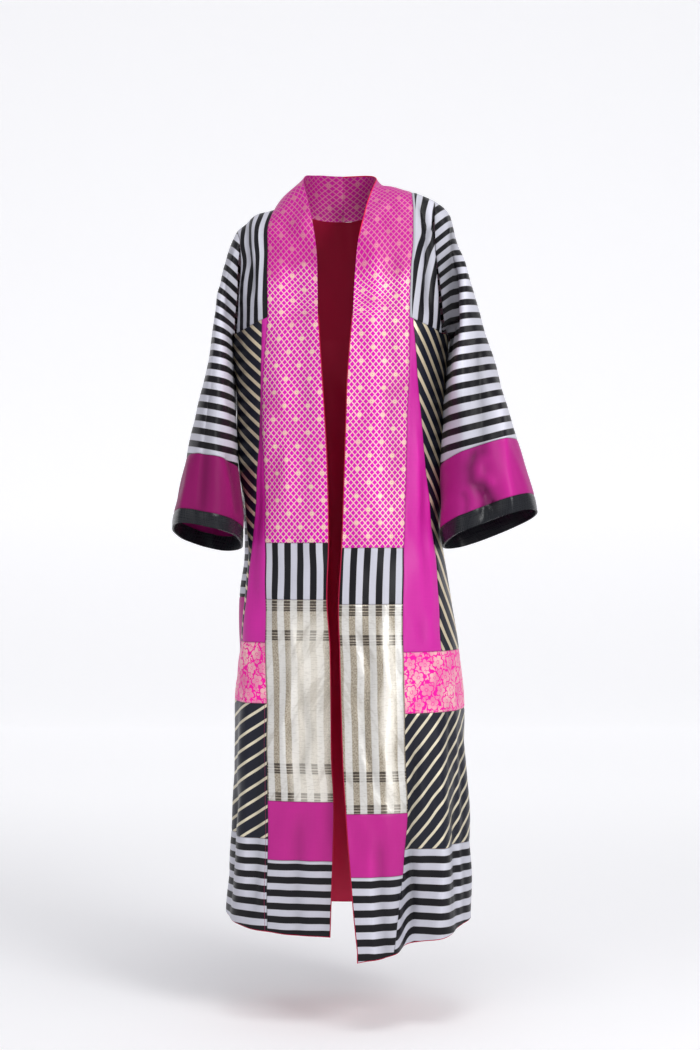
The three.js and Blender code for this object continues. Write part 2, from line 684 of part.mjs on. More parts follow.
// A closed thin wall: outer points, inner points and the rims between them
function wallGeometry(rows, closed, outerIn, thickness) {
  const columns = rows[0].length;
  const lastRow = rows.length - 1;
  const outer = [];
  const inner = [];
  rows.forEach((points, row) => points.forEach((point, column) => {
    const shift = new THREE.Vector3();
    const towards = (neighbour) => {
      shift.addScaledVector(neighbour.clone().sub(point).normalize(), seamGap / 2);
    };
    if (row === 0) towards(rows[1][column]);
    if (row === lastRow) towards(rows[lastRow - 1][column]);
    if (!closed && column === 0) towards(points[1]);
    if (!closed && column === columns - 1) towards(points[columns - 2]);
    const normal = normalAt(point);
    outer.push(point.clone().add(shift).addScaledVector(normal, -outerIn(row)));
    inner.push(point.clone().add(shift).addScaledVector(normal, -outerIn(row) - thickness));
  }));
  const index = [];
  const at = (row, column, layer) => layer * outer.length + row * columns + (column % columns);
  const quad = (a, b, c, d) => index.push(a, b, c, a, c, d);
  const lastColumnHere = closed ? columns : columns - 1;
  for (let row = 0; row < lastRow; row += 1) {
    for (let column = 0; column < lastColumnHere; column += 1) {
      quad(at(row, column, 0), at(row + 1, column, 0), at(row + 1, column + 1, 0), at(row, column + 1, 0));
      quad(at(row, column, 1), at(row, column + 1, 1), at(row + 1, column + 1, 1), at(row + 1, column, 1));
    }
  }
  for (let column = 0; column < lastColumnHere; column += 1) {
    quad(at(0, column, 0), at(0, column + 1, 0), at(0, column + 1, 1), at(0, column, 1));
    quad(at(lastRow, column + 1, 0), at(lastRow, column, 0), at(lastRow, column, 1),
      at(lastRow, column + 1, 1));
  }
  if (!closed) {
    for (let row = 0; row < lastRow; row += 1) {
      quad(at(row + 1, 0, 0), at(row, 0, 0), at(row, 0, 1), at(row + 1, 0, 1));
      quad(at(row, columns - 1, 0), at(row + 1, columns - 1, 0), at(row + 1, columns - 1, 1),
        at(row, columns - 1, 1));
    }
  }
  const geometry = new THREE.BufferGeometry();
  const positions = [...outer, ...inner].flatMap((point) => point.toArray());
  geometry.setAttribute('position', new THREE.Float32BufferAttribute(positions, 3));
  geometry.setIndex(index);
  return facingOut(geometry);
}

// Turns a closed geometry so that its faces point out
function facingOut(geometry) {
  const corners = [0, 1, 2].map(() => new THREE.Vector3());
  const index = geometry.index.array;
  let volume = 0;
  for (let i = 0; i < index.length; i += 3) {
    corners.forEach((corner, k) => corner.fromBufferAttribute(geometry.attributes.position, index[i + k]));
    volume += corners[0].dot(corners[1].clone().cross(corners[2]));
  }
  if (volume < 0) {
    for (let i = 0; i < index.length; i += 3) [index[i], index[i + 1]] = [index[i + 1], index[i]];
  }
  geometry.computeVertexNormals();
  return geometry;
}

const abaya = new THREE.Group();
function addMesh(name, finish, geometry) {
  const mesh = new THREE.Mesh(geometry, new THREE.MeshStandardMaterial(finishes[finish]));
  mesh.name = name;
  abaya.add(mesh);
}

for (const { name, finish, rows, closed } of panels) {
  addMesh(name, finish, wallGeometry(rows, closed, () => 0, clothThickness));
}

for (const { name, finish, rows, closed = false, ease } of linings) {
  const kept = closed ? rows : rows.filter((row, index) => (
    index % liningRowStep === 0 || index === rows.length - 1));
  const sewn = (row) => row === 0 || row === kept.length - 1;
  const depthIn = (row) => clothThickness + (sewn(row) ? seamGap : ease);
  addMesh(name, finish, wallGeometry(kept, closed, depthIn, liningThickness));
}

export default abaya;
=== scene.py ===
"""An open-front patchwork abaya, hollow and shaped as on a wearer, as cloth panels on the frame of
its solids.

The form is worked out in millimetres, +Z up, the front facing -Y, and turned into metres when a
panel's mesh is made. Right and left are the wearer's: right is -X.
"""
import math
from functools import cache
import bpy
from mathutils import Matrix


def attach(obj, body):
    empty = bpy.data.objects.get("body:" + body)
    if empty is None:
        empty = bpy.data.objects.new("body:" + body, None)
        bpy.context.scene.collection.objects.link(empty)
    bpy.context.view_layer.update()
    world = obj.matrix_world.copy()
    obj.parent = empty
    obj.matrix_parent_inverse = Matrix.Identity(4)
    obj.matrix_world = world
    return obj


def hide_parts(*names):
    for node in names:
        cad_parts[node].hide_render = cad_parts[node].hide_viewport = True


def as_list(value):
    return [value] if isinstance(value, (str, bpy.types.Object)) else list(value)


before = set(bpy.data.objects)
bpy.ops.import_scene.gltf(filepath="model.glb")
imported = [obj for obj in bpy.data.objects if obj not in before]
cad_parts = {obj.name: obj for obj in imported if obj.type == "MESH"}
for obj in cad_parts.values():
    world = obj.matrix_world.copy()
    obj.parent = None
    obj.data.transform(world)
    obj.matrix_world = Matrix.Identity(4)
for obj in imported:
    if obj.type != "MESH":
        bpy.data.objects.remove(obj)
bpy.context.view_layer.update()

from types import SimpleNamespace

import bmesh
import bpy
import numpy as np
from bpy.props import FloatProperty, FloatVectorProperty, PointerProperty
from mathutils import Vector

bl_info = {
    "name": "Patchwork Abaya",
    "version": (1, 0, 0),
    "blender": (4, 5, 0),
    "location": "View3D > Sidebar > Abaya",
    "description": "Builds a hollow open-front abaya of silk patchwork",
    "category": "Add Mesh",
}

MILLIMETRE = 0.001


# ---------------------------------------------------------------- the form, as in the solids

BODY_SQUARENESS, SHOULDER_SQUARENESS, SLEEVE_SQUARENESS = 2.4, 2.3, 2.2
# Angles from the centre front, in degrees
SIDE_SEAM_ANGLE, CENTRE_BACK = 96, 180
# Heights, then distances, in millimetres
ARMPIT, YOKE_SEAM_AT_BAND = -266, -240
EVEN_COLUMNS_BELOW, NECK_SEAM_DEPTH = 220, 80
# The band's rounded crown on the shoulder: its height, and how far it leans out and up
BAND_CROWN, CROWN_OUT, CROWN_UP = 5, 0.6, 0.8
# The sleeve's ease under the arm and its way, and how many stations the armhole's shape reaches
UNDERARM_EASE, UNDERARM_WAY, ARMHOLE_REACH = 0.8, (0.5, 1, 0), 3
# Rounds in which a column's angle and a row's height settle together
GRID_ROUNDS = 6

# Columns round one side, from the front edge to the centre back
BAND_COLUMN, GORE_COLUMN, ARMHOLE_COLUMN = 4, 6, 9
SIDE_COLUMN, BACK_ARMHOLE_COLUMN, LAST_COLUMN = 12, 15, 22
YOKE_COLUMNS, NECK_COLUMNS, SHOULDER_ROWS = 5, 4, 8
# Rows from the yoke seam down to the hem
ROWS = dict(yoke=0, stripe=10, tissue=13, floral=15, back_floral=16, diagonal=18, magenta=23,
            hem_stripe=25, band_hem=26, hem=30)
# Points round the armhole: ridge, end of the front, start of the back, ridge again
RING_FRONT, RING_BACK, RING_END = 8, 14, 22
RING_TURNS = (0, 125, 235, 360)


def table(names, *rows):
    """Columns of numbers by name"""
    return {name: np.array(column, float) for name, column in zip(names.split(), zip(*rows))}


BACK_DEPTHS = table("height depth", (-266, 118), (-400, 108), (-560, 106), (-660, 118),
                    (-770, 132), (-960, 142), (-1210, 152), (-1400, 162))

RIGHT = dict(
    name="right", sign=-1,
    sections=table("height half front", (-266, 212, 128), (-400, 202, 124), (-560, 198, 122),
                   (-660, 194, 128), (-770, 200, 136), (-960, 205, 138), (-1210, 215, 138),
                   (-1400, 226, 140)),
    fronts=table("height edge seam", (-240, 46.5, 139.5), (-330, 41, 148.6), (-423, 35, 153),
                 (-512, 30.5, 148.6), (-659, 27.5, 145), (-764, 30.6, 145), (-856, 24.6, 144),
                 (-1058, 22, 141), (-1136, 18, 139.5), (-1248, 20, 140), (-1380, 24.6, 141.4)),
    gore_seams=table("height out", (-256, 151), (-560, 163.5), (-669, 173.4), (-785, 184),
                     (-844, 191)),
    levels=dict(stripe=-659, tissue=-764, floral=-844, diagonal=-957, magenta=-1136,
                hem_stripe=-1207, band_hem=-1245),
    hem=table("angle height", (0, -1384), (40, -1376), (90, -1360), (180, -1370)),
    shoulder_seams=table("rise seam armhole", (0, 139.5, 203), (0.35, 140, 197),
                         (0.6, 140.5, 195), (0.85, 140.5, 195), (1, 132, 202)),
    ridge=table("out height", (0, 20), (70, 8), (100, -8), (132, -25), (151, -32), (169, -40),
                (189, -56), (204, -70), (212, -80)),
    neck_front=((47, -120, -180), (49, -113, -118), (57, -91, -60), (66, -63, -16),
                (75.6, -28, 24)),
    neck_back=((73, 14, 41), (50, 50, 48), (0, 74, 50)),
    sleeve=table("station outerX outerZ innerX innerZ depth half drop",
                 (0, 202, -70, 211, -267, 0, 64, 0), (1, 220, -110, 213, -284, -4, 80, 6),
                 (2, 230, -170, 215, -308, -10, 92, 12), (3, 239, -225, 216, -340, -18, 101, 18),
                 (4, 252, -310, 216, -385, -30, 106, 24), (5, 270, -400, 215, -445, -44, 106, 32),
                 (6, 291, -508, 211, -525, -58, 103, 38), (7, 315, -609, 201, -635, -74, 98, 42),
                 (8, 318, -635, 196, -663, -78, 96, 43)),
    body_folds=((86, 13, -470, -960, -26), (60, 9, -700, -1500, 7), (76, 9, -960, -1500, -10),
                (112, 11, -560, -1000, 9), (120, 12, -820, -1560, 12),
                (148, 12, -500, -1560, -12)),
    sleeve_folds=((75, 22, 2, 9.5, 6), (300, 24, 2.5, 9.5, -9)),
)

LEFT = dict(
    name="left", sign=1,
    sections=table("height half front", (-266, 200, 128), (-400, 193, 126), (-560, 188, 128),
                   (-660, 190, 138), (-770, 206, 150), (-860, 219, 158), (-960, 228, 166),
                   (-1100, 233, 178), (-1210, 236, 188), (-1400, 240, 200)),
    fronts=table("height edge seam", (-240, 18, 124), (-342, 9.6, 123.5), (-435, 6.2, 120),
                 (-551, 2.5, 116.5), (-668, -1.4, 114), (-774, -7.2, 110.6), (-850, -5.2, 111),
                 (-1053, 0.5, 115), (-1150, 6.2, 120), (-1266, 15, 118), (-1340, 21, 108),
                 (-1400, 27.5, 96)),
    gore_seams=table("height out", (-254, 131), (-579, 161), (-691, 173), (-766, 180),
                     (-860, 184)),
    levels=dict(stripe=-668, tissue=-772, floral=-860, diagonal=-972, magenta=-1152,
                hem_stripe=-1220, band_hem=-1266),
    hem=table("angle height", (0, -1421), (22, -1405), (40, -1388), (90, -1362), (180, -1370)),
    shoulder_seams=table("rise seam armhole", (0, 124, 187), (0.4, 126, 178), (0.6, 130, 173),
                         (0.85, 132, 172), (1, 130, 174)),
    ridge=table("out height", (0, 20), (70, 17), (100, 12), (130, 6), (158, -1), (174, -8),
                (190, -20), (200, -30)),
    neck_front=((20.8, -119, -180), (28, -108, -97), (39, -84, -45), (48, -58, -10),
                (57, -34, 15)),
    neck_back=((64, 4, 36), (46, 46, 47), (0, 74, 50)),
    sleeve=table("station outerX outerZ innerX innerZ depth half drop",
                 (0, 174, -8, 199, -267, 0, 62, 0), (1, 203, -40, 202, -280, -4, 78, 6),
                 (2, 218, -95, 204, -300, -10, 88, 12), (3, 233, -145, 205, -330, -18, 94, 18),
                 (4, 258, -230, 204, -375, -30, 96, 24), (5, 287, -336, 200, -425, -44, 92, 30),
                 (6, 327, -471, 192, -516, -58, 82, 34), (7, 356, -573, 190, -634, -72, 72, 36),
                 (8, 363, -602, 190, -665, -76, 69, 36)),
    body_folds=((31, 9, -1120, -1640, -44), (50, 9, -860, -1560, 9), (63, 8, -940, -1560, -10),
                (80, 9, -900, -1560, 6), (112, 12, -760, -1560, -14),
                (136, 12, -620, -1560, 10), (158, 11, -480, -1560, -9)),
    sleeve_folds=((150, 20, 0.4, 5.4, -14), (112, 18, 0.6, 7.5, 8), (285, 24, 2.5, 9.5, -8)),
)


def mix(start, end, share):
    return start + (end - start) * share


def smooth(share):
    share = np.clip(share, 0, 1)
    return share * share * (3 - 2 * share)


def rounded(value, squareness):
    return np.sign(value) * np.abs(value) ** (2 / squareness)


def fullness(share, squareness):
    return (1 - np.clip(share, 0, 1) ** squareness) ** (1 / squareness)


def fold_strength(at, first, last):
    """How strongly a fold acts between its two ends"""
    return np.sin(np.pi * np.clip((at - first) / (last - first), 0, 1)) ** 2


def read(rows, key, column, at):
    """A smooth curve through one column of a table"""
    keys, values = rows[key], rows[column]
    rising = 1 if keys[-1] > keys[0] else -1
    at = np.clip(np.asarray(at, float) * rising, keys[0] * rising, keys[-1] * rising) * rising
    after = np.clip(np.searchsorted(keys * rising, at * rising), 1, len(keys) - 1)
    before, last = after - 1, len(keys) - 1

    def slope(first, second):
        return (values[second] - values[first]) / (keys[second] - keys[first])

    span = keys[after] - keys[before]
    share = (at - keys[before]) / span
    start_slope = slope(np.maximum(after - 2, 0), after) * span
    end_slope = slope(before, np.minimum(after + 1, last)) * span
    rise = values[after] - values[before]
    return values[before] + share * (start_slope + share * (
        3 * rise - 2 * start_slope - end_slope + share * (start_slope + end_slope - 2 * rise)))


def filled(at, value):
    """One value at every place"""
    return np.full(np.shape(at), float(value))


def points_of(x, y, z):
    return np.stack(np.broadcast_arrays(x, y, z), axis=-1).astype(float)


def body_point(side, angle, height):
    """The body's outer surface, at an angle from the centre front"""
    level = np.minimum(height, ARMPIT)
    half = read(side["sections"], "height", "half", level)
    front = read(side["sections"], "height", "front", level)
    back = read(BACK_DEPTHS, "height", "depth", level)
    turn = np.radians(angle)
    out = half * rounded(np.sin(turn), BODY_SQUARENESS)
    depth = np.where(angle < 90, -front, -back) * rounded(np.cos(turn), BODY_SQUARENESS)
    ridge = read(side["ridge"], "out", "height", out)
    rise = np.maximum(height - ARMPIT, 0) / (ridge - ARMPIT)
    depth = depth * fullness(rise, SHOULDER_SQUARENESS)
    fold = 0
    for place, width, top, bottom, fold_depth in side["body_folds"]:
        across = (angle - place) / width
        fold = fold + fold_depth * np.exp(-across * across) * fold_strength(height, top, bottom)
    return points_of(side["sign"] * (out + fold * np.sin(turn)), depth - fold * np.cos(turn),
                     height)


def front_angle(side, out, height):
    """The angle on the front whose point lies this far from the centre plane"""
    half = read(side["sections"], "height", "half", np.minimum(height, ARMPIT))
    share = np.sign(out) * np.abs(out / half) ** (BODY_SQUARENESS / 2)
    return np.degrees(np.arcsin(share))


def shoulder_point(side, out, rise, faces):
    """Over the shoulder: rise 0 at the armpit, 1 on the ridge"""
    ridge = read(side["ridge"], "out", "height", out)
    flank = front_angle(side, out, ARMPIT)
    angle = flank if faces == "front" else CENTRE_BACK - flank
    foot = body_point(side, angle, filled(angle, ARMPIT))
    return points_of(side["sign"] * out, foot[..., 1] * fullness(rise, SHOULDER_SQUARENESS),
                     mix(ARMPIT, ridge, rise))


def row_rise(share, first, last):
    """The rise of an evenly spaced row between two rises"""
    turns = [np.arcsin(rise ** (SHOULDER_SQUARENESS / 2)) for rise in (first, last)]
    return np.sin(mix(turns[0], turns[1], share)) ** (2 / SHOULDER_SQUARENESS)


def yoke_seam_height(side, out):
    seam, armhole = (side["shoulder_seams"][edge][0] for edge in ("seam", "armhole"))
    return mix(YOKE_SEAM_AT_BAND, ARMPIT, np.clip((out - seam) / (armhole - seam), 0, 1))


def stepped(at, marks):
    """Straight lines between marks of place and value"""
    value = marks[0][1] + 0 * at
    for (first, start), (last, end) in zip(marks, marks[1:]):
        value = np.where(at >= first, mix(start, end, (at - first) / (last - first)), value)
    return value


def column_angle(side, column, height):
    edge, seam = (front_angle(side, read(side["fronts"], "height", name, height), height)
                  for name in ("edge", "seam"))
    gore = front_angle(side, read(side["gore_seams"], "height", "out", height), height)
    armhole = front_angle(side, side["shoulder_seams"]["armhole"][0], ARMPIT)
    even = smooth((ARMPIT - height) / EVEN_COLUMNS_BELOW)
    front_share = (ARMHOLE_COLUMN - GORE_COLUMN) / (SIDE_COLUMN - GORE_COLUMN)
    back_share = (BACK_ARMHOLE_COLUMN - SIDE_COLUMN) / (LAST_COLUMN - SIDE_COLUMN)
    front_turn = mix(armhole, mix(gore, SIDE_SEAM_ANGLE, front_share), even)
    back_turn = mix(CENTRE_BACK - armhole, mix(SIDE_SEAM_ANGLE, CENTRE_BACK, back_share), even)
    return stepped(column, (
        (0, edge), (BAND_COLUMN, seam), (GORE_COLUMN, gore), (ARMHOLE_COLUMN, front_turn),
        (SIDE_COLUMN, SIDE_SEAM_ANGLE), (BACK_ARMHOLE_COLUMN, back_turn),
        (LAST_COLUMN, CENTRE_BACK)))


def row_height(side, row, column, angle):
    """The height of a row: the two sides' levels meet at the centre back"""
    def on(one):
        seam = read(one["fronts"], "height", "seam", YOKE_SEAM_AT_BAND)
        out = np.abs(body_point(one, angle, filled(angle, ARMPIT))[..., 0])
        yoke = yoke_seam_height(one, np.where(column <= BAND_COLUMN, seam, out))
        yoke = np.where(column >= ARMHOLE_COLUMN, ARMPIT, yoke)
        levels = [(ROWS[name], height) for name, height in one["levels"].items()]
        hem = read(one["hem"], "angle", "height", angle)
        return stepped(row, ((0, yoke), *levels, (ROWS["hem"], hem)))
    towards_back = smooth((angle - SIDE_SEAM_ANGLE) / (CENTRE_BACK - SIDE_SEAM_ANGLE))
    own = on(side)
    return mix(own, (own + on(LEFT if side is RIGHT else RIGHT)) / 2, towards_back)


def body(side, column, row):
    """The body below the yoke seam, at columns and rows of the solids' grid"""
    height = filled(column, ARMPIT)
    for _ in range(GRID_ROUNDS):
        angle = column_angle(side, column, height)
        height = row_height(side, row, column, angle)
    return body_point(side, angle, height)


def yoke(side, column, row):
    """The front yoke, from its lower seam up to the ridge"""
    across = column / YOKE_COLUMNS
    seams = side["shoulder_seams"]
    foot = mix(seams["seam"][0], seams["armhole"][0], across)
    ridge = read(side["ridge"], "out", "height", foot)
    first = (yoke_seam_height(side, foot) - ARMPIT) / (ridge - ARMPIT)
    rise = row_rise(row / SHOULDER_ROWS, first, 1)
    seam, armhole = (read(seams, "rise", edge, rise) for edge in ("seam", "armhole"))
    return shoulder_point(side, mix(seam, armhole, across), rise, "front")


def back_yoke(side, column, row):
    """Half of the back yoke, from the armhole to the centre back"""
    ridge_seam = side["shoulder_seams"]["seam"][-1]
    in_neck = np.maximum(column - YOKE_COLUMNS, 0) / NECK_COLUMNS
    inner_out = ridge_seam * (1 - in_neck)
    neck_depth = NECK_SEAM_DEPTH * np.sqrt(1 - (1 - in_neck) ** 2)
    foot_depth = shoulder_point(side, inner_out, 0, "back")[..., 1]
    top = fullness(neck_depth / foot_depth, SHOULDER_SQUARENESS)
    rise = row_rise(row / SHOULDER_ROWS, 0, top)
    armhole = read(side["shoulder_seams"], "rise", "armhole", rise)
    on_shoulder = mix(armhole, ridge_seam, column / YOKE_COLUMNS)
    out = np.where(column < YOKE_COLUMNS, on_shoulder, inner_out)
    return shoulder_point(side, out, rise, "back")


def curve_through(points, at):
    """A centripetal curve through points; at runs from 0 to 1, evenly from point to point"""
    points = np.array([2 * points[0] - points[1], *points, 2 * points[-1] - points[-2]])
    place = np.clip(at, 0, 1) * (len(points) - 3)
    index = np.minimum(place.astype(int), len(points) - 4)
    share = (place - index)[..., None]
    p0, p1, p2, p3 = (points[index + step] for step in range(4))
    steps = [np.sqrt(np.linalg.norm(b - a, axis=-1))[..., None] for a, b in
             ((p0, p1), (p1, p2), (p2, p3))]
    start = ((p1 - p0) / steps[0] - (p2 - p0) / (steps[0] + steps[1])) * steps[1] + p2 - p1
    end = ((p3 - p2) / steps[2] - (p3 - p1) / (steps[1] + steps[2])) * steps[1] + p2 - p1
    return p1 + share * (start + share * (
        3 * (p2 - p1) - 2 * start - end + share * (2 * (p1 - p2) + start + end)))


def upper_band(side, column, row):
    """The band above the yoke seam, over the shoulder and round to the centre back"""
    sign = side["sign"]
    foot_row = filled(column, 0)
    foot = body(side, column, foot_row)
    foot_edge = body(side, foot_row, foot_row)
    foot_seam = body(side, foot_row + BAND_COLUMN, foot_row)
    neck = [points_of(sign * out, depth, height)
            for out, depth, height in (*side["neck_front"], *side["neck_back"])]
    neck = [foot_edge.reshape(-1, 3)[0], *neck]
    front_share = len(side["neck_front"]) / (len(neck) - 1)
    on_front = np.minimum(row / SHOULDER_ROWS, 1)
    on_back = np.maximum(row - SHOULDER_ROWS, 0) / NECK_COLUMNS
    inner = curve_through(neck, on_front * front_share + on_back * (1 - front_share))
    front_seam = yoke(side, foot_row, np.minimum(row, SHOULDER_ROWS))
    back_seam = back_yoke(side, YOKE_COLUMNS + NECK_COLUMNS * on_back, foot_row + SHOULDER_ROWS)
    outer = np.where(on_back[..., None] > 0, back_seam, front_seam)
    across = column / BAND_COLUMN
    bulge = (foot - mix(foot_edge, foot_seam, across[..., None])) * (1 - on_front)[..., None]
    crown = BAND_CROWN * 4 * across * (1 - across) * on_front
    lift = points_of(sign * CROWN_OUT * (1 - on_back), on_back, CROWN_UP * (1 - on_back))
    return mix(inner, outer, across[..., None]) + bulge + lift * crown[..., None]


def whole_band(side, column, row):
    """The band from the centre back (row -12) over the shoulder and down to the hem (row 30)"""
    above = upper_band(side, column, np.maximum(-row, 0))
    below = body(side, column, np.maximum(row, 0))
    return np.where(row[..., None] < 0, above, below)


def sleeve_form(side, angle, station):
    """The free form of a sleeve: angle 0 on its outer line, 90 at the front, 180 inside"""
    value = {name: read(side["sleeve"], "station", name, station) for name in side["sleeve"]}
    outer = points_of(side["sign"] * value["outerX"], value["depth"], value["outerZ"])
    inner = points_of(side["sign"] * value["innerX"], value["depth"], value["innerZ"])
    centre = (outer + inner) / 2
    forward = points_of(0, -value["half"], value["drop"] / 2)
    swell = 1
    for place, width, first, last, depth in side["sleeve_folds"]:
        across = (angle - place) / width
        strength = fold_strength(station, first, last)
        swell = swell + depth / value["half"] * np.exp(-across * across) * strength
    turn = np.radians(angle)
    out, ahead = (swell * rounded(wave(turn), SLEEVE_SQUARENESS) for wave in (np.cos, np.sin))
    return centre + (outer - centre) * out[..., None] + forward * ahead[..., None]


def sleeve(side, place, station):
    """A sleeve: place runs round it from the ridge over the front, station down to the cuff"""
    angle = stepped(place, list(zip((0, RING_FRONT, RING_BACK, RING_END), RING_TURNS)))
    front = yoke(side, filled(place, YOKE_COLUMNS), np.clip(RING_FRONT - place, 0, SHOULDER_ROWS))
    under = body(side, ARMHOLE_COLUMN + np.clip(place - RING_FRONT, 0, RING_BACK - RING_FRONT),
                 filled(place, 0))
    turn = under * UNDERARM_WAY
    under = under + UNDERARM_EASE * turn / np.linalg.norm(turn, axis=-1, keepdims=True)
    back = back_yoke(side, filled(place, 0), np.clip(place - RING_BACK, 0, SHOULDER_ROWS))
    ring = np.where(place[..., None] < RING_FRONT, front,
                    np.where(place[..., None] <= RING_BACK, under, back))
    fade = np.clip(1 - station / ARMHOLE_REACH, 0, 1) ** 2
    free = sleeve_form(side, angle, station)
    return free + (ring - sleeve_form(side, angle, filled(place, 0))) * fade[..., None]


def across_back(form, first):
    """A form that crosses the back, from the left side's column first to the right side's"""
    def crossing(span, row, last):
        reach = last - first
        on_left = form(LEFT, first + np.minimum(span, reach), row)
        on_right = form(RIGHT, first + np.minimum(2 * reach - span, reach), row)
        return np.where(span[..., None] <= reach, on_left, on_right)
    return crossing


def back_body(_, span, row):
    return across_back(body, SIDE_COLUMN)(span, row, LAST_COLUMN)


def whole_back_yoke(_, span, row):
    return across_back(back_yoke, 0)(span, row, YOKE_COLUMNS + NECK_COLUMNS)


# ---------------------------------------------------------------- creases, listed one by one

# By zone and face: width, depth out (+) or in (-), then points (x, z) in the front view
CREASES = {
    "body": {
        "front": (
            # The right yoke and the band beside it
            (7, -5, (-186, -40), (-178, -110), (-172, -150), (-168, -215)),
            (8, 4, (-163, -40), (-160, -130), (-152, -235)),
            # The left yoke: a V of two folds that run together, then down
            (6, -8, (145, 2), (151, -45), (160, -88), (157, -250)),
            (5, -6, (178, -22), (173, -52), (161, -92)),
            (8, 5, (164, -6), (165, -44), (165, -76)),
            # The lattice band hangs in long soft waves
            (16, 3, (-110, -60), (-112, -330), (-96, -660)),
            (14, -2.5, (-75, -100), (-70, -350), (-62, -640)),
            (15, 3, (62, -60), (58, -300), (66, -640)),
            (14, -2.5, (95, -80), (92, -330), (96, -650)),
            # Gores
            (8, -4, (-158, -330), (-156, -500), (-166, -820)),
            (7, 4, (136, -420), (140, -600), (150, -840)),
            (8, -3, (150, -500), (156, -700), (165, -860)),
            # Slanting folds of the metallic tissue
            (9, -5, (-60, -790), (-84, -900), (-64, -1010), (-90, -1130)),
            (9, 5, (-100, -780), (-78, -880), (-110, -1000), (-96, -1120)),
            (8, -4, (30, -800), (52, -900), (40, -1010), (66, -1140)),
            (10, 5, (72, -790), (84, -930), (74, -1040), (88, -1140)),
            # Hem blocks of the band
            (10, -5, (66, -1180), (72, -1290), (84, -1440)),
            (9, 4, (46, -1200), (52, -1300), (58, -1440)),
            (12, -4, (-80, -1150), (-86, -1260), (-82, -1400)),
            # Side panels below the hip, and the deep fold of the left hem
            (8, -7, (136, -990), (134, -1090), (128, -1200), (124, -1400)),
            (9, 4, (172, -960), (180, -1080), (184, -1240), (176, -1400)),
            (6, -3.5, (196, -930), (198, -1080), (204, -1240), (200, -1400)),
            (5, 3, (208, -940), (211, -1090), (216, -1250), (214, -1400)),
            (5, -3, (219, -980), (223, -1110), (228, -1280), (226, -1410)),
            (9, 3, (-172, -900), (-176, -1080), (-182, -1380)),
            (9, -2.5, (-200, -960), (-204, -1130), (-206, -1390)),
            (8, -3, (-157, -1000), (-160, -1180), (-164, -1390)),
            # The left gore's long waves
            (9, 4, (160, -520), (160, -700), (162, -870)),
            (8, -3, (143, -560), (146, -720), (149, -870)),
        ),
        "back": (
            (16, 6, (-120, -300), (-112, -700), (-124, -1420)),
            (14, -6, (-78, -420), (-70, -800), (-74, -1420)),
            (18, 7, (-24, -320), (-18, -800), (-30, -1420)),
            (14, -7, (34, -380), (30, -760), (24, -1420)),
            (16, 7, (92, -300), (84, -760), (96, -1420)),
            (13, -6, (140, -420), (146, -860), (150, -1420)),
            (12, -4, (-60, -60), (-84, -180), (-110, -260)),
            (12, -4, (70, -50), (90, -170), (120, -255)),
        ),
    },
    "sleeve": {
        "front": (
            # The right sleeve: a kink beside the armhole, then folds to the cuff
            (9, -7, (-216, -80), (-214, -150), (-214, -260)),
            (10, 5, (-226, -130), (-228, -300), (-236, -470)),
            (9, -5, (-238, -330), (-246, -450), (-262, -640)),
            (9, 5, (-276, -470), (-286, -560), (-300, -650)),
            (6, 4, (-237, -490), (-226, -545), (-215, -620)),
            (8, -5, (-226, -480), (-216, -545), (-206, -620)),
            # The left sleeve: a long fold line beside the armhole
            (10, -12, (209, -34), (208, -120), (204, -220), (200, -330)),
            (10, -7, (200, -200), (198, -330), (198, -470)),
            (16, -5, (196, -90), (192, -230), (190, -340)),
            (9, 6, (222, -60), (224, -200), (220, -420)),
            (10, -5, (250, -250), (256, -400), (262, -640)),
            (10, 5, (280, -360), (298, -480), (314, -640)),
            (11, -8, (250, -470), (234, -520), (236, -546), (262, -566), (292, -610)),
            (9, 4, (262, -490), (254, -530), (284, -560)),
            (5, -4, (222, -560), (230, -585), (228, -615)),
            (4, -4, (262, -580), (258, -596), (262, -618)),
            (4, -4, (276, -576), (274, -592), (280, -612)),
        ),
        "back": (
            (12, -6, (-232, -150), (-240, -400), (-256, -640)),
            (12, 5, (-256, -250), (-268, -450), (-290, -640)),
            (12, -6, (236, -150), (248, -380), (250, -640)),
            (12, 5, (262, -260), (280, -420), (310, -620)),
        ),
    },
}
# A crease's cross-section, and the share of its length over which either end fades
CREASE_SHARPNESS, CREASE_TAPER = 1.5, 0.2
# How soon a crease, or the lean of a sleeve, starts on cloth that turns to its side
FACING_START, FACING_GAIN, INSIDE_GAIN = 0.25, 2.5, 1.5

# Small waves all over the cloth, in millimetres
RIPPLE_SEED, RIPPLE_WAVES, RIPPLE_HEIGHT, RIPPLE_LENGTHS = 7, 14, 0.45, (45, 140)
RIPPLE_LEAN, RIPPLE_DEPTH_SHARE, FULL_TURN = 0.35, 1.4, 6.28


def along_line(x, z, line):
    """How far points of the front view lie from a bent line, and where along it, from 0 to 1"""
    corners = np.array(line, float)
    lengths = np.linalg.norm(np.diff(corners, axis=0), axis=1)
    nearest, place, run = np.full(x.shape, 1e9), np.zeros(x.shape), 0
    for start, end, length in zip(corners, corners[1:], lengths):
        way = (end - start) / length
        along = (x - start[0]) * way[0] + (z - start[1]) * way[1]
        held = np.clip(along, 0, length)
        far = np.hypot(x - start[0] - way[0] * held, z - start[1] - way[1] * held)
        place = np.where(far < nearest, (run + held) / lengths.sum(), place)
        nearest = np.minimum(nearest, far)
        run += length
    return nearest, place


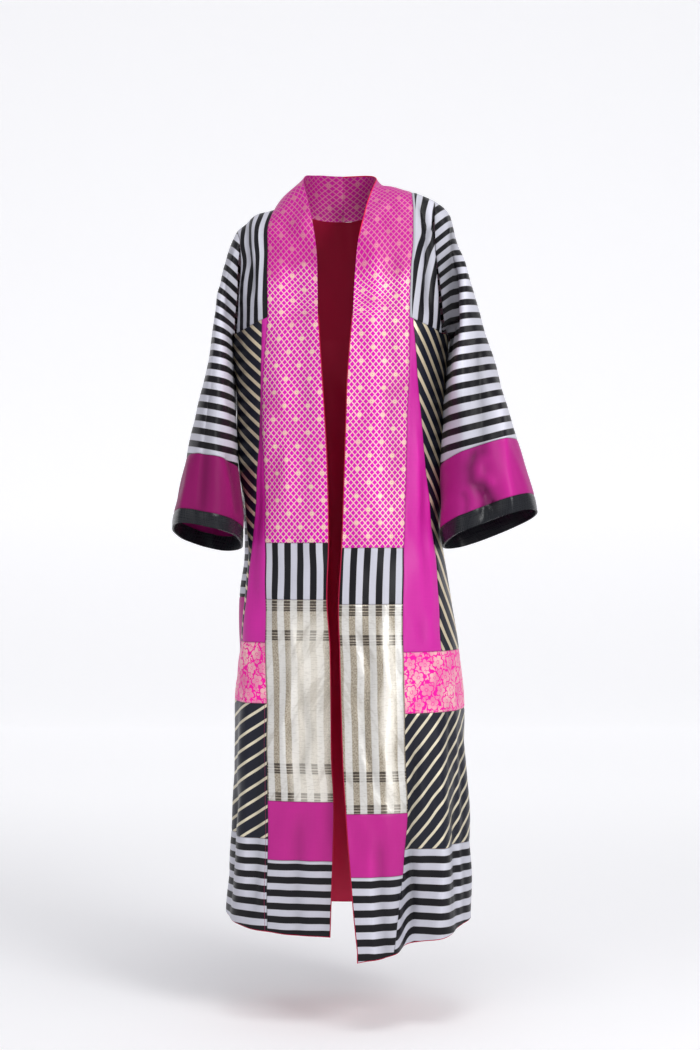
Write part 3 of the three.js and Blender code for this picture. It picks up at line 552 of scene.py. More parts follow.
# A sleeve lies against the body: heights from the foot up, and how far its inner side reaches in
RIGHT_SLEEVE_LEAN = ((-692, 3), (-650, 11), (-610, 16), (-520, 16), (-460, 15), (-400, 13),
                     (-370, 10.5), (-330, 7.5), (-290, 3.5), (-250, 0))
LEFT_SLEEVE_LEAN = ((-690, 0), (-640, 9), (-600, 8.5), (-570, 7), (-490, 7), (-450, 9.5),
                    (-424, 11), (-400, 12.5), (-360, 11), (-310, 7), (-250, 0))


def crease_heights(points, normals, zone):
    """How far each point moves out of the smooth form, and the part from the listed creases alone
    """
    x, z = points[..., 0], points[..., 2]
    placed = np.zeros(x.shape)
    for face, creases in CREASES[zone].items():
        gain = FACING_GAIN if face == "back" else -FACING_GAIN
        facing = smooth(FACING_START + gain * normals[..., 1])
        for width, depth, *line in creases:
            far, place = along_line(x, z, line)
            taper = smooth(place / CREASE_TAPER) * smooth((1 - place) / CREASE_TAPER)
            placed += depth * facing * taper * np.exp(-(far / width) ** CREASE_SHARPNESS)
    height = placed.copy()
    if zone == "sleeve":
        inside = smooth(-INSIDE_GAIN * np.sign(x) * normals[..., 0])
        leans = (np.interp(z, *zip(*lean)) for lean in (LEFT_SLEEVE_LEAN, RIGHT_SLEEVE_LEAN))
        height += np.where(x > 0, *leans) * inside
    rng = np.random.default_rng(RIPPLE_SEED)
    for _ in range(RIPPLE_WAVES):
        length, lean = rng.uniform(*RIPPLE_LENGTHS), rng.normal(0, RIPPLE_LEAN)
        phase = rng.uniform(0, FULL_TURN)
        way = np.array([math.cos(lean), math.sin(lean) * RIPPLE_DEPTH_SHARE, math.sin(lean)])
        height += RIPPLE_HEIGHT * np.sin(2 * math.pi * (points @ way) / length + phase)
    strength = bpy.context.scene.abaya_sizes.crease_strength
    return height * strength, placed * strength


# ---------------------------------------------------------------- sheets of cloth

# In millimetres: the gap at a seam, the row of vertices beside it, and the reach of its groove
SEAM_GAP, RIM_ROW, SEAM_REACH = 0.3, 2.6, 2.4
# The lining's foot comes out to this inset, over this distance from its edge
FOOT_INSET, FOOT_REACH = 1.4, 25
# Cloth reaches this far past its free edges, and no shading looks farther from a seam than this
OVERHANG, FARTHEST_SEAM = 1.8, 50
# Sheets: places for measuring a line, join of a tube's edges in metres, sharpest smooth angle
FINE_PLACES, JOIN_DISTANCE, SMOOTH_ANGLE = 240, 0.00002, 50


def lengths_along(points, axis):
    """Distances from the first point of each line of a grid"""
    steps = np.linalg.norm(np.diff(points, axis=axis), axis=-1)
    zeros = np.zeros_like(np.take(steps, [0], axis=axis))
    return np.concatenate([zeros, np.cumsum(steps, axis=axis)], axis=axis)


def places_along(line, first, last, step):
    """Places from first to last at an even step, with a close pair at either end"""
    fine = np.linspace(first, last, FINE_PLACES)
    run = lengths_along(line(fine), 0)
    inner = np.linspace(2 * RIM_ROW, run[-1] - 2 * RIM_ROW, max(int(run[-1] / step), 2))
    marks = np.concatenate([[SEAM_GAP / 2, RIM_ROW], inner,
                            [run[-1] - RIM_ROW, run[-1] - SEAM_GAP / 2]])
    return np.interp(marks, run, fine)


def outward_normals(points, turn):
    across, down = np.gradient(points, axis=1), np.gradient(points, axis=0)
    normals = np.cross(down, across) * turn
    return normals / np.maximum(np.linalg.norm(normals, axis=-1, keepdims=True), 1e-9)


def seam_distance(points, sewn):
    """How far each point is from the nearest sewn edge of its panel"""
    across, down = lengths_along(points, 1), lengths_along(points, 0)
    ways = dict(left=across, right=across[:, -1:] - across, top=down, bottom=down[-1:] - down)
    return np.min([ways[edge] for edge in sewn] or [np.full(across.shape, 1e3)], axis=0)


def flat_cut(points):
    """The flat size of a panel in metres, width and length, and its area"""
    across, down = lengths_along(points, 1)[:, -1], lengths_along(points, 0)[-1]
    falling, rising = points[1:, 1:] - points[:-1, :-1], points[1:, :-1] - points[:-1, 1:]
    area = np.linalg.norm(np.cross(falling, rising), axis=-1).sum()
    width, length = across.max() * MILLIMETRE, down.max() * MILLIMETRE
    return (width, length), min(area / 2 * MILLIMETRE ** 2, width * length)


def cloth_sheet(name, points, turn, uv, measures, thickness, closed=False):
    """A sheet: a flat grid at its cut size, moved onto its form, then thickened inwards"""
    (width, length), area = flat_cut(points)
    if turn < 0:
        points, uv = points[:, ::-1], uv[:, ::-1]
        measures = {name: values[:, ::-1] for name, values in measures.items()}
    rows, columns = points.shape[:2]
    bpy.ops.object.select_all(action="DESELECT")
    bpy.ops.mesh.primitive_grid_add(x_subdivisions=columns - 1, y_subdivisions=rows - 1, size=1)
    piece = bpy.context.object
    piece.name = name
    piece.scale = (width, length, 1)
    bpy.ops.object.transform_apply(location=False, rotation=False, scale=True)
    mesh = piece.data
    flat = np.empty(len(mesh.vertices) * 3)
    mesh.vertices.foreach_get("co", flat)
    flat = flat.reshape(-1, 3)
    column = np.rint((flat[:, 0] / width + 0.5) * (columns - 1)).astype(int)
    row = np.rint((0.5 - flat[:, 1] / length) * (rows - 1)).astype(int)
    mesh.vertices.foreach_set("co", (points[row, column] * MILLIMETRE).ravel())
    corner = np.empty(len(mesh.loops), dtype=np.int32)
    mesh.loops.foreach_get("vertex_index", corner)
    mesh.uv_layers[0].name = "Cloth"
    mesh.uv_layers[0].data.foreach_set("uv", (uv[row, column][corner] * MILLIMETRE).ravel())
    for measure, values in measures.items():
        layer = mesh.attributes.new(measure, "FLOAT", "POINT")
        layer.data.foreach_set("value", values[row, column].ravel() * MILLIMETRE)
    mesh.update()
    if closed:
        bpy.ops.object.mode_set(mode="EDIT")
        bpy.ops.mesh.select_all(action="SELECT")
        bpy.ops.mesh.remove_doubles(threshold=JOIN_DISTANCE)
        bpy.ops.object.mode_set(mode="OBJECT")
    wall = piece.modifiers.new("Wall", "SOLIDIFY")
    wall.thickness = thickness * MILLIMETRE
    wall.offset = -1
    bpy.ops.object.modifier_apply(modifier=wall.name)
    bpy.ops.object.shade_smooth_by_angle(angle=math.radians(SMOOTH_ANGLE))
    return piece, (width, length), area


def make_panel(panel, side, material):
    """One panel of the table: its form, creases, seams, pattern coordinates and frame calls"""
    sizes = bpy.context.scene.abaya_sizes
    side_name = side["name"] if side else ""
    node = panel["node"].format(side=side_name)
    form, (left, right), (top, bottom) = panel["form"], panel["columns"], panel["rows"]
    turn = panel["turn"] * (side["sign"] if side else 1)
    step = sizes.front_step if side else sizes.back_step
    closed = panel.get("closed", False)
    columns = places_along(lambda at: form(side, at, filled(at, (top + bottom) / 2)),
                           left, right, step)
    rows = places_along(lambda at: form(side, filled(at, (left + right) / 2), at),
                        top, bottom, step)
    if closed:
        columns = np.linspace(left, right, len(columns))
    column, row = np.meshgrid(columns, rows)
    base = form(side, column, row)
    normals = outward_normals(base, turn)
    if closed:
        rim = normals[:, 0] + normals[:, -1]
        normals[:, 0] = normals[:, -1] = rim / np.linalg.norm(rim, axis=-1, keepdims=True)
    creases, folds = crease_heights(base, normals, panel.get("zone", "body"))
    if closed:
        creases[:, -1] = creases[:, 0]
    points = base + normals * creases[..., None]
    uv = panel["uv"](side, points, base)
    seams = seam_distance(points, panel.get("sewn", ("left", "right", "top", "bottom")))
    press = sizes.seam_press / MILLIMETRE * np.exp(-(seams / SEAM_REACH) ** 2)
    inset = panel.get("inset", 0)
    free_edges = panel.get("overhang", ())
    points = overhang(points, free_edges)
    if "bottom" in free_edges:
        from_foot = seam_distance(points, ("left", "bottom"))
        inset = inset * smooth(from_foot / FOOT_REACH) + FOOT_INSET
    points = points - normals * (press + inset)[..., None]
    thickness = sizes.cloth_thickness / MILLIMETRE * panel.get("share", 1)
    measures = dict(seam_distance=np.minimum(seams, FARTHEST_SEAM),
                    across=lengths_along(base, 1), fold=folds)
    name = panel.get("name", node).format(side=side_name)
    piece, flat, area = cloth_sheet(f"{name}_cloth", points, turn, uv, measures, thickness, closed)
    piece.data.materials.append(material)
    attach(piece, "root")
    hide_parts(node)
    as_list(panel.get("rests_on", ()))


def overhang(points, edges):
    """The cloth reaches a little past its free edges"""
    points = points.copy()
    ends = dict(left=(np.s_[:, 0], np.s_[:, 1]), bottom=(np.s_[-1], np.s_[-2]),
                neck=(np.s_[-1], np.s_[-2]), first=(np.s_[0], np.s_[1]))
    for edge, inner in (ends[name] for name in edges):
        out = points[edge] - points[inner]
        points[edge] += OVERHANG * out / np.linalg.norm(out, axis=-1, keepdims=True)
    return points


# ---------------------------------------------------------------- pattern coordinates, in mm

def uv_from_outer_seam(side, points, base):
    """Across from the last column, down along it"""
    across, down = lengths_along(points, 1), lengths_along(points, 0)
    return np.stack([across[:, -1:] - across, np.broadcast_to(down[:, -1:], across.shape)], -1)


def uv_from_inner_seam(side, points, base):
    """Across from the first column, down by height"""
    across = lengths_along(points, 1)
    sign = side["sign"] if side else 1
    return np.stack([sign * across, base[0, 0, 2] - points[..., 2]], -1)


# Slanted stripes hang straight in the front view: how much of the depth counts in their width
SLANTED_DEPTH_SHARE = 0.3


def uv_of_slanted(side, points, base):
    """Across from the first column as the front view sees it, down by height"""
    steps = np.abs(np.diff(points, axis=1))
    across = np.cumsum(steps[..., 0] + SLANTED_DEPTH_SHARE * steps[..., 1], axis=1)
    across = np.concatenate([np.zeros_like(across[:, :1]), across], axis=1)
    across += np.abs(base[:, :1, 0] - base[:1, :1, 0])
    return np.stack([side["sign"] * across, base[0, 0, 2] - points[..., 2]], -1)


# Yoke stripes: how far they lean outwards going up, and a pinch: its size, height and reach
YOKE_STRIPES = dict(right=(-0.02, 6, -130, 30), left=(0.11, -9, -84, 24))
# The pinch is whole at this distance from the band
PINCH_START = 25


def uv_of_yoke(side, points, base):
    """Across from the band seam along leaning stripes, up along the shoulder"""
    across, up = lengths_along(points, 1), lengths_along(points, 0)
    lean, pinch, height, reach = YOKE_STRIPES[side["name"]]
    shift = pinch * np.exp(-((points[..., 2] - height) / reach) ** 2)
    shift = shift * np.clip(across / PINCH_START, 0, 1)
    return np.stack([across - lean * up + shift, up], -1)


def uv_of_back_yoke(side, points, base):
    return np.stack([points[..., 0], points[..., 2]], -1)


# Sleeve stripes: how steeply they fall inwards, outside and inside the fold line beside the body
SLEEVE_SLANTS = dict(
    right=table("height outer inner fold", (-70, 0.9, 0.9, 208), (-160, 0.8, 0.9, 214),
                (-230, 0.55, 0.8, 214), (-300, 0.24, 0.6, 212), (-400, 0.2, 0.3, 210),
                (-640, 0.2, 0.2, 200)),
    left=table("height outer inner fold", (-8, 0.5, 0.8, 207), (-70, 0.3, 0.8, 206),
               (-140, 0.12, 0.75, 204), (-230, 0.14, 0.6, 201), (-330, 0.2, 0.5, 198),
               (-450, 0.26, 0.42, 194), (-610, 0.34, 0.34, 190)),
)


# Rounds in which the height where a stripe starts settles
SLANT_ROUNDS = 16


def uv_of_sleeve(side, points, base):
    """Round the sleeve, and down its outer line along slanted stripes"""
    slants, sleeve_table = SLEEVE_SLANTS[side["name"]], side["sleeve"]
    outer = dict(height=sleeve_table["outerZ"], out=sleeve_table["outerX"])
    x, z = np.abs(points[..., 0]), points[..., 2]
    height = z.copy()
    for _ in range(SLANT_ROUNDS):
        fold = read(slants, "height", "fold", height)
        reach = read(outer, "height", "out", height) - np.maximum(x, fold)
        drop = reach * read(slants, "height", "outer", height)
        drop += np.maximum(fold - x, 0) * read(slants, "height", "inner", height)
        height = mix(height, z + drop, 0.5)
    return np.stack([lengths_along(points, 1), -height], -1)


# The left hem's stripes drop into the deep fold beside the band
FOLD_DROP, FOLD_DROP_REACH, FOLD_DROP_GROWTH = 34, 14, 24
FOLD_DROP_LENGTH, FOLD_DROP_BEND = 170, 1.5


def uv_of_hem_panel(side, points, base):
    uv = uv_from_inner_seam(side, points, base)
    if side is LEFT:
        lower = np.clip(uv[..., 1] / FOLD_DROP_LENGTH, 0, 1)
        reach = FOLD_DROP_REACH + FOLD_DROP_GROWTH * lower
        near = 1 - smooth((base[..., 0] - base[:, :1, 0]) / reach)
        uv[..., 1] -= FOLD_DROP * lower ** FOLD_DROP_BEND * near
    return uv


# ---------------------------------------------------------------- the panels

def panel(node, slot, form, columns, rows, uv, turn=1, **more):
    return dict(node=node, slot=slot, form=form, columns=columns, rows=rows, uv=uv, turn=turn,
                **more)


def stretch(first, last):
    return ROWS[first], ROWS[last]


BAND = (0, BAND_COLUMN)
BAND_SEAMS = ("right", "top", "bottom")
BESIDE_BAND = (BAND_COLUMN, SIDE_COLUMN)
BACK_SPAN = (0, 2 * (LAST_COLUMN - SIDE_COLUMN))
BACK_YOKE_SPAN = (0, 2 * (YOKE_COLUMNS + NECK_COLUMNS))
ROUND = (0, RING_END)
HEM_SEAMS = ("left", "right", "top")
# How far inside the form the lining lies, in millimetres
BODY_INSET, YOKE_INSET = 2.8, 1.6


def sleeve_panel(name, slot, stations, **more):
    """A tube round the arm between two stations of the sleeve"""
    return panel(f"{{side}}_{name}", slot, sleeve, ROUND, stations, uv_of_sleeve, turn=-1,
                 zone="sleeve", closed=True, **more)


def lining_panel(node, form, columns, rows, uv, inset, free_edges, **more):
    """A thin panel inside the outer cloth, free at some of its edges"""
    return panel(node, "crimson_lining", form, columns, rows, uv, sewn=(), inset=inset, share=0.6,
                 overhang=free_edges, **more)


BAND_PANELS = (
    panel("{side}_band_lattice", "lattice_brocade", whole_band, BAND,
          (-SHOULDER_ROWS - NECK_COLUMNS, ROWS["stripe"]), uv_from_outer_seam, sewn=BAND_SEAMS,
          finish="{side}_lattice"),
    panel("{side}_band_stripe", "stripe_satin", whole_band, BAND, stretch("stripe", "tissue"),
          uv_from_outer_seam, sewn=BAND_SEAMS, finish="band_stripe"),
    panel("{side}_band_tissue", "metallic_tissue", whole_band, BAND, stretch("tissue", "magenta"),
          uv_from_outer_seam, sewn=BAND_SEAMS),
    panel("{side}_band_magenta", "magenta_silk", whole_band, BAND, stretch("magenta", "band_hem"),
          uv_from_outer_seam, sewn=BAND_SEAMS),
    panel("{side}_band_hem", "stripe_satin", whole_band, BAND, stretch("band_hem", "hem"),
          uv_from_inner_seam, sewn=("right", "top"), finish="{side}_band_hem"),
)
FRONT_PANELS = (
    panel("{side}_yoke", "stripe_satin", yoke, (0, YOKE_COLUMNS), (0, SHOULDER_ROWS), uv_of_yoke,
          turn=-1, finish="{side}_yoke"),
    panel("{side}_gore", "magenta_silk", body, (BAND_COLUMN, GORE_COLUMN),
          stretch("yoke", "floral"), uv_from_inner_seam, finish="gore_silk"),
    panel("{side}_side_diagonal", "dark_satin", body, (GORE_COLUMN, SIDE_COLUMN),
          stretch("yoke", "floral"), uv_of_slanted, finish="{side}_side_diagonal"),
    panel("{side}_floral", "floral_brocade", body, BESIDE_BAND, stretch("floral", "diagonal"),
          uv_from_inner_seam),
    panel("{side}_lower_diagonal", "dark_satin", body, BESIDE_BAND,
          stretch("diagonal", "hem_stripe"), uv_of_slanted, finish="{side}_lower_diagonal"),
    panel("{side}_hem_stripe", "stripe_satin", body, BESIDE_BAND, stretch("hem_stripe", "hem"),
          uv_of_hem_panel, sewn=HEM_SEAMS, finish="{side}_side_hem"),
)
SLEEVE_PANELS = (
    sleeve_panel("sleeve", "stripe_satin", (0, 6), sewn=("top", "bottom"),
                 finish="{side}_sleeve"),
    sleeve_panel("sleeve_band", "magenta_silk", (6, 7), sewn=("top", "bottom"),
                 finish="{side}_sleeve_band"),
    sleeve_panel("cuff", "black_satin", (7, 8), sewn=("top",)),
    sleeve_panel("cuff_facing", "black_satin", (7, 8), sewn=(), inset=2.2, share=0.8),
)
BACK_PANELS = (
    panel("back_yoke", "stripe_satin", whole_back_yoke, BACK_YOKE_SPAN, (0, SHOULDER_ROWS),
          uv_of_back_yoke, turn=-1, finish="back_yoke"),
    panel("back_stripe", "stripe_satin", back_body, BACK_SPAN, stretch("yoke", "tissue"),
          uv_from_inner_seam, finish="back_stripe"),
    panel("back_magenta", "magenta_silk", back_body, BACK_SPAN, stretch("tissue", "back_floral"),
          uv_from_inner_seam),
    panel("back_floral", "floral_brocade", back_body, BACK_SPAN,
          stretch("back_floral", "diagonal"), uv_from_inner_seam),
    panel("back_diagonal", "dark_satin", back_body, BACK_SPAN, stretch("diagonal", "hem_stripe"),
          uv_from_inner_seam, finish="back_diagonal"),
    panel("back_hem", "stripe_satin", back_body, BACK_SPAN, stretch("hem_stripe", "hem"),
          uv_from_inner_seam, sewn=HEM_SEAMS, finish="side_hem"),
)
LINING_PANELS = (
    lining_panel("lining_{side}", body, (0, SIDE_COLUMN), stretch("yoke", "hem"),
                 uv_from_inner_seam, BODY_INSET, ("left", "bottom", "first")),
    lining_panel("lining_{side}", yoke, (0, YOKE_COLUMNS), (0, SHOULDER_ROWS), uv_of_yoke,
                 YOKE_INSET, ("first",), turn=-1, name="lining_{side}_yoke"),
)
BACK_LINING_PANELS = (
    lining_panel("lining_back", back_body, BACK_SPAN, stretch("yoke", "hem"),
                 uv_from_inner_seam, BODY_INSET, ("bottom", "first")),
    lining_panel("lining_back", whole_back_yoke, BACK_YOKE_SPAN, (0, SHOULDER_ROWS),
                 uv_of_back_yoke, YOKE_INSET, ("neck", "first"), turn=-1,
                 name="lining_back_yoke"),
)


# ---------------------------------------------------------------- materials

class Value:
    """A node's result, which can be reckoned with like a number"""

    def __init__(self, tree, socket):
        self.tree, self.socket = tree, socket

    def __add__(self, other):
        return self.tree.math("ADD", self, other)

    def __sub__(self, other):
        return self.tree.math("SUBTRACT", self, other)

    def __rsub__(self, other):
        return self.tree.math("SUBTRACT", other, self)

    def __mul__(self, other):
        return self.tree.math("MULTIPLY", self, other)

    def __truediv__(self, other):
        return self.tree.math("DIVIDE", self, other)

    def __rtruediv__(self, other):
        return self.tree.math("DIVIDE", other, self)

    def __mod__(self, other):
        return self.tree.math("FLOORED_MODULO", self, other)

    def __abs__(self):
        return self.tree.math("ABSOLUTE", self)

    __radd__ = __add__

    def larger(self, other):
        return self.tree.math("MAXIMUM", self, other)

    def rounded(self):
        return self.tree.math("ROUND", self)

    def ramp(self, low, high):
        """0 below low, 1 above high, smooth between them"""
        return self.tree.node("ShaderNodeMapRange", self, low, high, 0.0, 1.0,
                              interpolation_type="SMOOTHSTEP")

    def below(self, low, high):
        """1 below low, 0 above high, smooth between them"""
        return 1 - self.ramp(low, high)

    def around(self, edge, blur):
        """0 below an edge, 1 above it, smooth over a blur to either side"""
        return self.ramp(edge - blur, edge + blur)

    def scaled(self, low, high):
        """From 0 to 1, taken to a range from low to high"""
        return self.tree.node("ShaderNodeMapRange", self, 0.0, 1.0, low, high)

    def wrapped(self, period):
        """The signed distance from the nearest multiple of a period"""
        half = period / 2
        return (self + half) % period - half


def socket_label(name):
    return name.replace("_", " ").capitalize()


class Tree:
    """Adds nodes to one node tree and joins them"""

    def __init__(self, tree):
        self.tree = tree

    def give(self, socket, value):
        if isinstance(value, Value):
            self.tree.links.new(value.socket, socket)
        elif value is not None:
            socket.default_value = value

    def node(self, kind, *values, out=0, named=None, **settings):
        """Adds a node, gives values to its first and its named inputs, and returns one result"""
        node = self.tree.nodes.new(kind)
        for name, value in settings.items():
            setattr(node, name, value)
        for key, value in (*enumerate(values), *(named or {}).items()):
            self.give(node.inputs[key], value)
        return Value(self, node.outputs[out])

    def math(self, operation, *values):
        return self.node("ShaderNodeMath", *values, operation=operation)

    def colour(self, factor, first, second, blend="MIX"):
        return self.node("ShaderNodeMix", out=2, named={0: factor, 6: first, 7: second},
                         data_type="RGBA", blend_type=blend)

    def lit(self, colour, level):
        """A colour made darker or lighter by a level"""
        return self.colour(1.0, colour, self.node("ShaderNodeCombineColor", *[level] * 3),
                           "MULTIPLY")

    def parts(self, value, kind="XYZ"):
        first = self.node(f"ShaderNodeSeparate{kind}", value)
        return [Value(self, socket) for socket in first.socket.node.outputs]

    def vector(self, x=0.0, y=0.0, z=0.0):
        return self.node("ShaderNodeCombineXYZ", x, y, z)

    def polar(self, x, y):
        """How far a point lies from the middle, and its angle round it"""
        return self.math("SQRT", x * x + y * y), self.math("ARCTAN2", y, x)

    def noise(self, vector, scale, detail=2.0):
        return self.node("ShaderNodeTexNoise", out="Fac", normalize=True,
                         named={"Vector": vector, "Scale": scale, "Detail": detail})

    def stretched_noise(self, u, v, across, along, detail=2.0):
        return self.noise(self.vector(u * across, v * along), 1.0, detail)

    def bump(self, strength, distance, height, normal=None):
        return self.node("ShaderNodeBump", strength, distance,
                         named={"Height": height, "Normal": normal})

    def group(self, group, **values):
        """Places a node group and returns its results by name"""
        first = self.node("ShaderNodeGroup", node_tree=group,
                          named={socket_label(name): value for name, value in values.items()})
        return SimpleNamespace(**{socket.name.lower().replace(" ", "_"): Value(self, socket)
                                  for socket in first.socket.node.outputs})

    def shade(self, inputs):
        """Gives values to inputs of the material's shader, by name"""
        for name, value in inputs.items():
            self.give(self.tree.nodes["Principled BSDF"].inputs[name], value)

    def results(self, **values):
        """Ends a node group with its named results"""
        for name in values:
            self.tree.interface.new_socket(socket_label(name), in_out="OUTPUT",
                                           socket_type="NodeSocketFloat")
        end = self.tree.nodes.new("NodeGroupOutput")
        for name, value in values.items():
            self.give(end.inputs[socket_label(name)], value)
        return self.tree


ORIGIN = (0.0, 0.0, 0.0)
BLACK, WHITE = (0.0, 0.0, 0.0, 1.0), (1.0, 1.0, 1.0, 1.0)


def node_group(title, **inputs):
    """A new node group with named inputs: its tree, and what it is given"""
    group = bpy.data.node_groups.new(title, "ShaderNodeTree")
    for name, value in inputs.items():
        kind = "NodeSocketVector" if value == ORIGIN else "NodeSocketFloat"
        socket = group.interface.new_socket(socket_label(name), in_out="INPUT", socket_type=kind)
        socket.default_value = value
    tree = Tree(group)
    start = group.nodes.new("NodeGroupInput")
    return tree, SimpleNamespace(**{name: Value(tree, start.outputs[socket_label(name)])
                                    for name in inputs})


@cache
def stripes_group():
    """Woven stripes across one coordinate: the light stripe, and the thin line at its edges"""
    tree, given = node_group("Woven stripes", across=0.0, start=0.0, period=0.025,
                             light_width=0.013, blur=0.0004, line_width=0.0005)
    half = given.light_width / 2
    far = abs((given.across - given.start - half).wrapped(given.period))
    return tree.results(light=far.below(half - given.blur, half + given.blur),
                        edge_line=abs(far - half).below(0.0, given.line_width))


# Slubs: how often they come in a metre, across and along
THREAD_HEIGHT, WEFT_SLUBS, WARP_SLUBS = 0.3, (26.0, 620.0), (700.0, 18.0)


@cache
def weave_group():
    """Woven threads and slubs: a height for the bump, and a tone from 0 to 1"""
    tree, given = node_group("Silk weave", coordinate=ORIGIN, thread=0.0008, slub=0.3)
    u, v, _ = tree.parts(given.coordinate)
    turns = 2 * math.pi / given.thread
    threads = tree.math("SINE", u * turns) * tree.math("SINE", v * turns)
    slubs = sum(tree.stretched_noise(u, v, *often) for often in (WEFT_SLUBS, WARP_SLUBS)) * 0.5
    return tree.results(height=threads * THREAD_HEIGHT + slubs * given.slub, tone=slubs)


# Beside a seam, in metres: the dark groove's width, and where the puckers start and end
GROOVE_WIDTH = 0.0022
PUCKER_START, PUCKER_END, PUCKER_SCALE = 0.001, 0.012, 95.0


@cache
def seam_group():
    """Beside a seam: shade in the groove, and small puckers of the bump"""
    tree, given = node_group("Seam", distance=0.05, coordinate=ORIGIN)
    pucker = tree.noise(given.coordinate, PUCKER_SCALE, 1.0)
    return tree.results(shade=given.distance.below(0.0, GROOVE_WIDTH),
                        height=given.distance.below(PUCKER_START, PUCKER_END) * pucker)


# Soft edges: of the line as shares of its width, and of a dash as shares of the pitch
LINE_EDGE, DASH_EDGE = (0.4, 0.7), (0.26, 0.36)


@cache
def stitches_group():
    """A line of stitches at one distance from a seam, seen as dashes along it"""
    tree, given = node_group("Stitches", from_seam=0.0, along=0.0, place=0.004, pitch=0.0026,
                             width=0.0009)
    far = abs(given.from_seam - given.place)
    dash = abs(given.along.wrapped(given.pitch)) / given.pitch
    line = far.below(*(given.width * edge for edge in LINE_EDGE))
    return tree.results(thread=line * dash.below(*DASH_EDGE))


# The star: its points, the depth of the notches between them, its blur and its hole
STAR_POINTS, STAR_NOTCH, STAR_BLUR, STAR_HOLE = 8, 0.62, 0.0003, (0.0007, 0.0011)
# The stars' repeat in cells, across and down, and the soft edge of a line as shares of its width
STAR_REPEAT, LATTICE_EDGE = (4.0, 2.0), (0.7, 1.3)


@cache
def lattice_group():
    """A diagonal lattice of thin lines, with a small star in every fourth diamond"""
    tree, given = node_group("Lattice brocade", coordinate=ORIGIN, cell_width=0.011,
                             cell_height=0.0125, line=0.093, star=0.0042)
    u, v, _ = tree.parts(given.coordinate)
    p, q = u / given.cell_width, v / given.cell_height
    near = tree.math("MINIMUM", abs((p + q).wrapped(1.0)), abs((p - q).wrapped(1.0)))
    line = near.below(*(given.line * edge for edge in LATTICE_EDGE))
    stagger = (q / 2).rounded() % 2 * 2
    x = (p - 0.5 - stagger).wrapped(STAR_REPEAT[0]) * given.cell_width
    y = q.wrapped(STAR_REPEAT[1]) * given.cell_height
    far, turn = tree.polar(x, y)
    reach = given.star * abs(tree.math("COSINE", turn * (STAR_POINTS / 2))).scaled(STAR_NOTCH, 1.0)
    star = (far - reach).below(-STAR_BLUR, STAR_BLUR) * far.ramp(*STAR_HOLE)
    return tree.results(figure=line.larger(star))


ROW_SPACING = 0.78
# How far a flower strays from its place, in metres, and how its size varies
FLOWER_SHIFT, FLOWER_SIZES, PETAL_NOTCH = (0.006, 0.005), (0.86, 1.08), 0.62
# Soft edges as shares of a flower's radius: its veins, its eye, its rim and the bare ground
VEIN_START, VEIN_END, VEIN_WIDTH = (0.28, 0.34), (0.78, 0.84), (0.02, 0.2)
EYE_RADIUS, EYE_RING, RIM, BARE_GROUND = 0.25, (0.03, 0.07), (0.95, 1.03), (1.2, 1.28)


@cache
def flowers_group():
    """Scalloped flowers on a staggered grid, each turned and sized a little differently"""
    tree, given = node_group("Flowers", coordinate=ORIGIN, spacing=0.034, radius=0.012,
                             petals=5.0, seed=0.0)
    u, v, _ = tree.parts(given.coordinate)
    row_height = given.spacing * ROW_SPACING
    row = (v / row_height).rounded()
    moved = u - row * 0.5 * given.spacing
    column = (moved / given.spacing).rounded()
    random = tree.node("ShaderNodeTexWhiteNoise", tree.vector(column, row, given.seed),
                       out="Color", noise_dimensions="3D")
    red, green, blue = tree.parts(random, "Color")
    x = moved.wrapped(given.spacing) + (red - 0.5) * FLOWER_SHIFT[0]
    y = v - row * row_height + (green - 0.5) * FLOWER_SHIFT[1]
    far, turn = tree.polar(x, y)
    wave = abs(tree.math("COSINE", (turn + blue * FULL_TURN) * (given.petals / 2)))
    size = given.radius * green.scaled(*FLOWER_SIZES)
    share = far / (size * wave.scaled(PETAL_NOTCH, 1.0))
    veins = share.ramp(*VEIN_START) * share.below(*VEIN_END) * wave.below(*VEIN_WIDTH)
    petals = (1 - veins) * abs(share - EYE_RADIUS).ramp(*EYE_RING)
    return tree.results(petals_mask=share.below(*RIM) * petals,
                        ground_mask=share.below(*BARE_GROUND))


# Where each bar of a group starts and ends, as shares of the group's height
BARS, BAR_BLUR = ((0.0, 0.25), (0.31, 0.5), (0.6, 0.77), (0.82, 1.0)), 0.02


@cache
def bars_group():
    """A group of four dark weft bars, two and two with a thin light line between them"""
    tree, given = node_group("Weft bars", down=0.0, top=0.0, height=0.019)
    share = (given.down - given.top) / given.height
    return tree.results(bars=sum(
        share.around(low, BAR_BLUR) * (1 - share.around(high, BAR_BLUR)) for low, high in BARS))


THREAD, WEAVE_TONE, WEAVE_RELIEF, ROUGHNESS_CHANGE = 0.0011, (0.9, 1.08), 0.0002, 0.08
SEAM_SHADE, PUCKER_STRENGTH, PUCKER_RELIEF = 0.32, 0.5, 0.0012
RELIEF_STRENGTH, SHEEN_ROUGHNESS = 0.6, 0.35
# A crease this deep or high, in metres, has the darkest or lightest of a finish's fold_light
SHADED_FOLD = 0.008


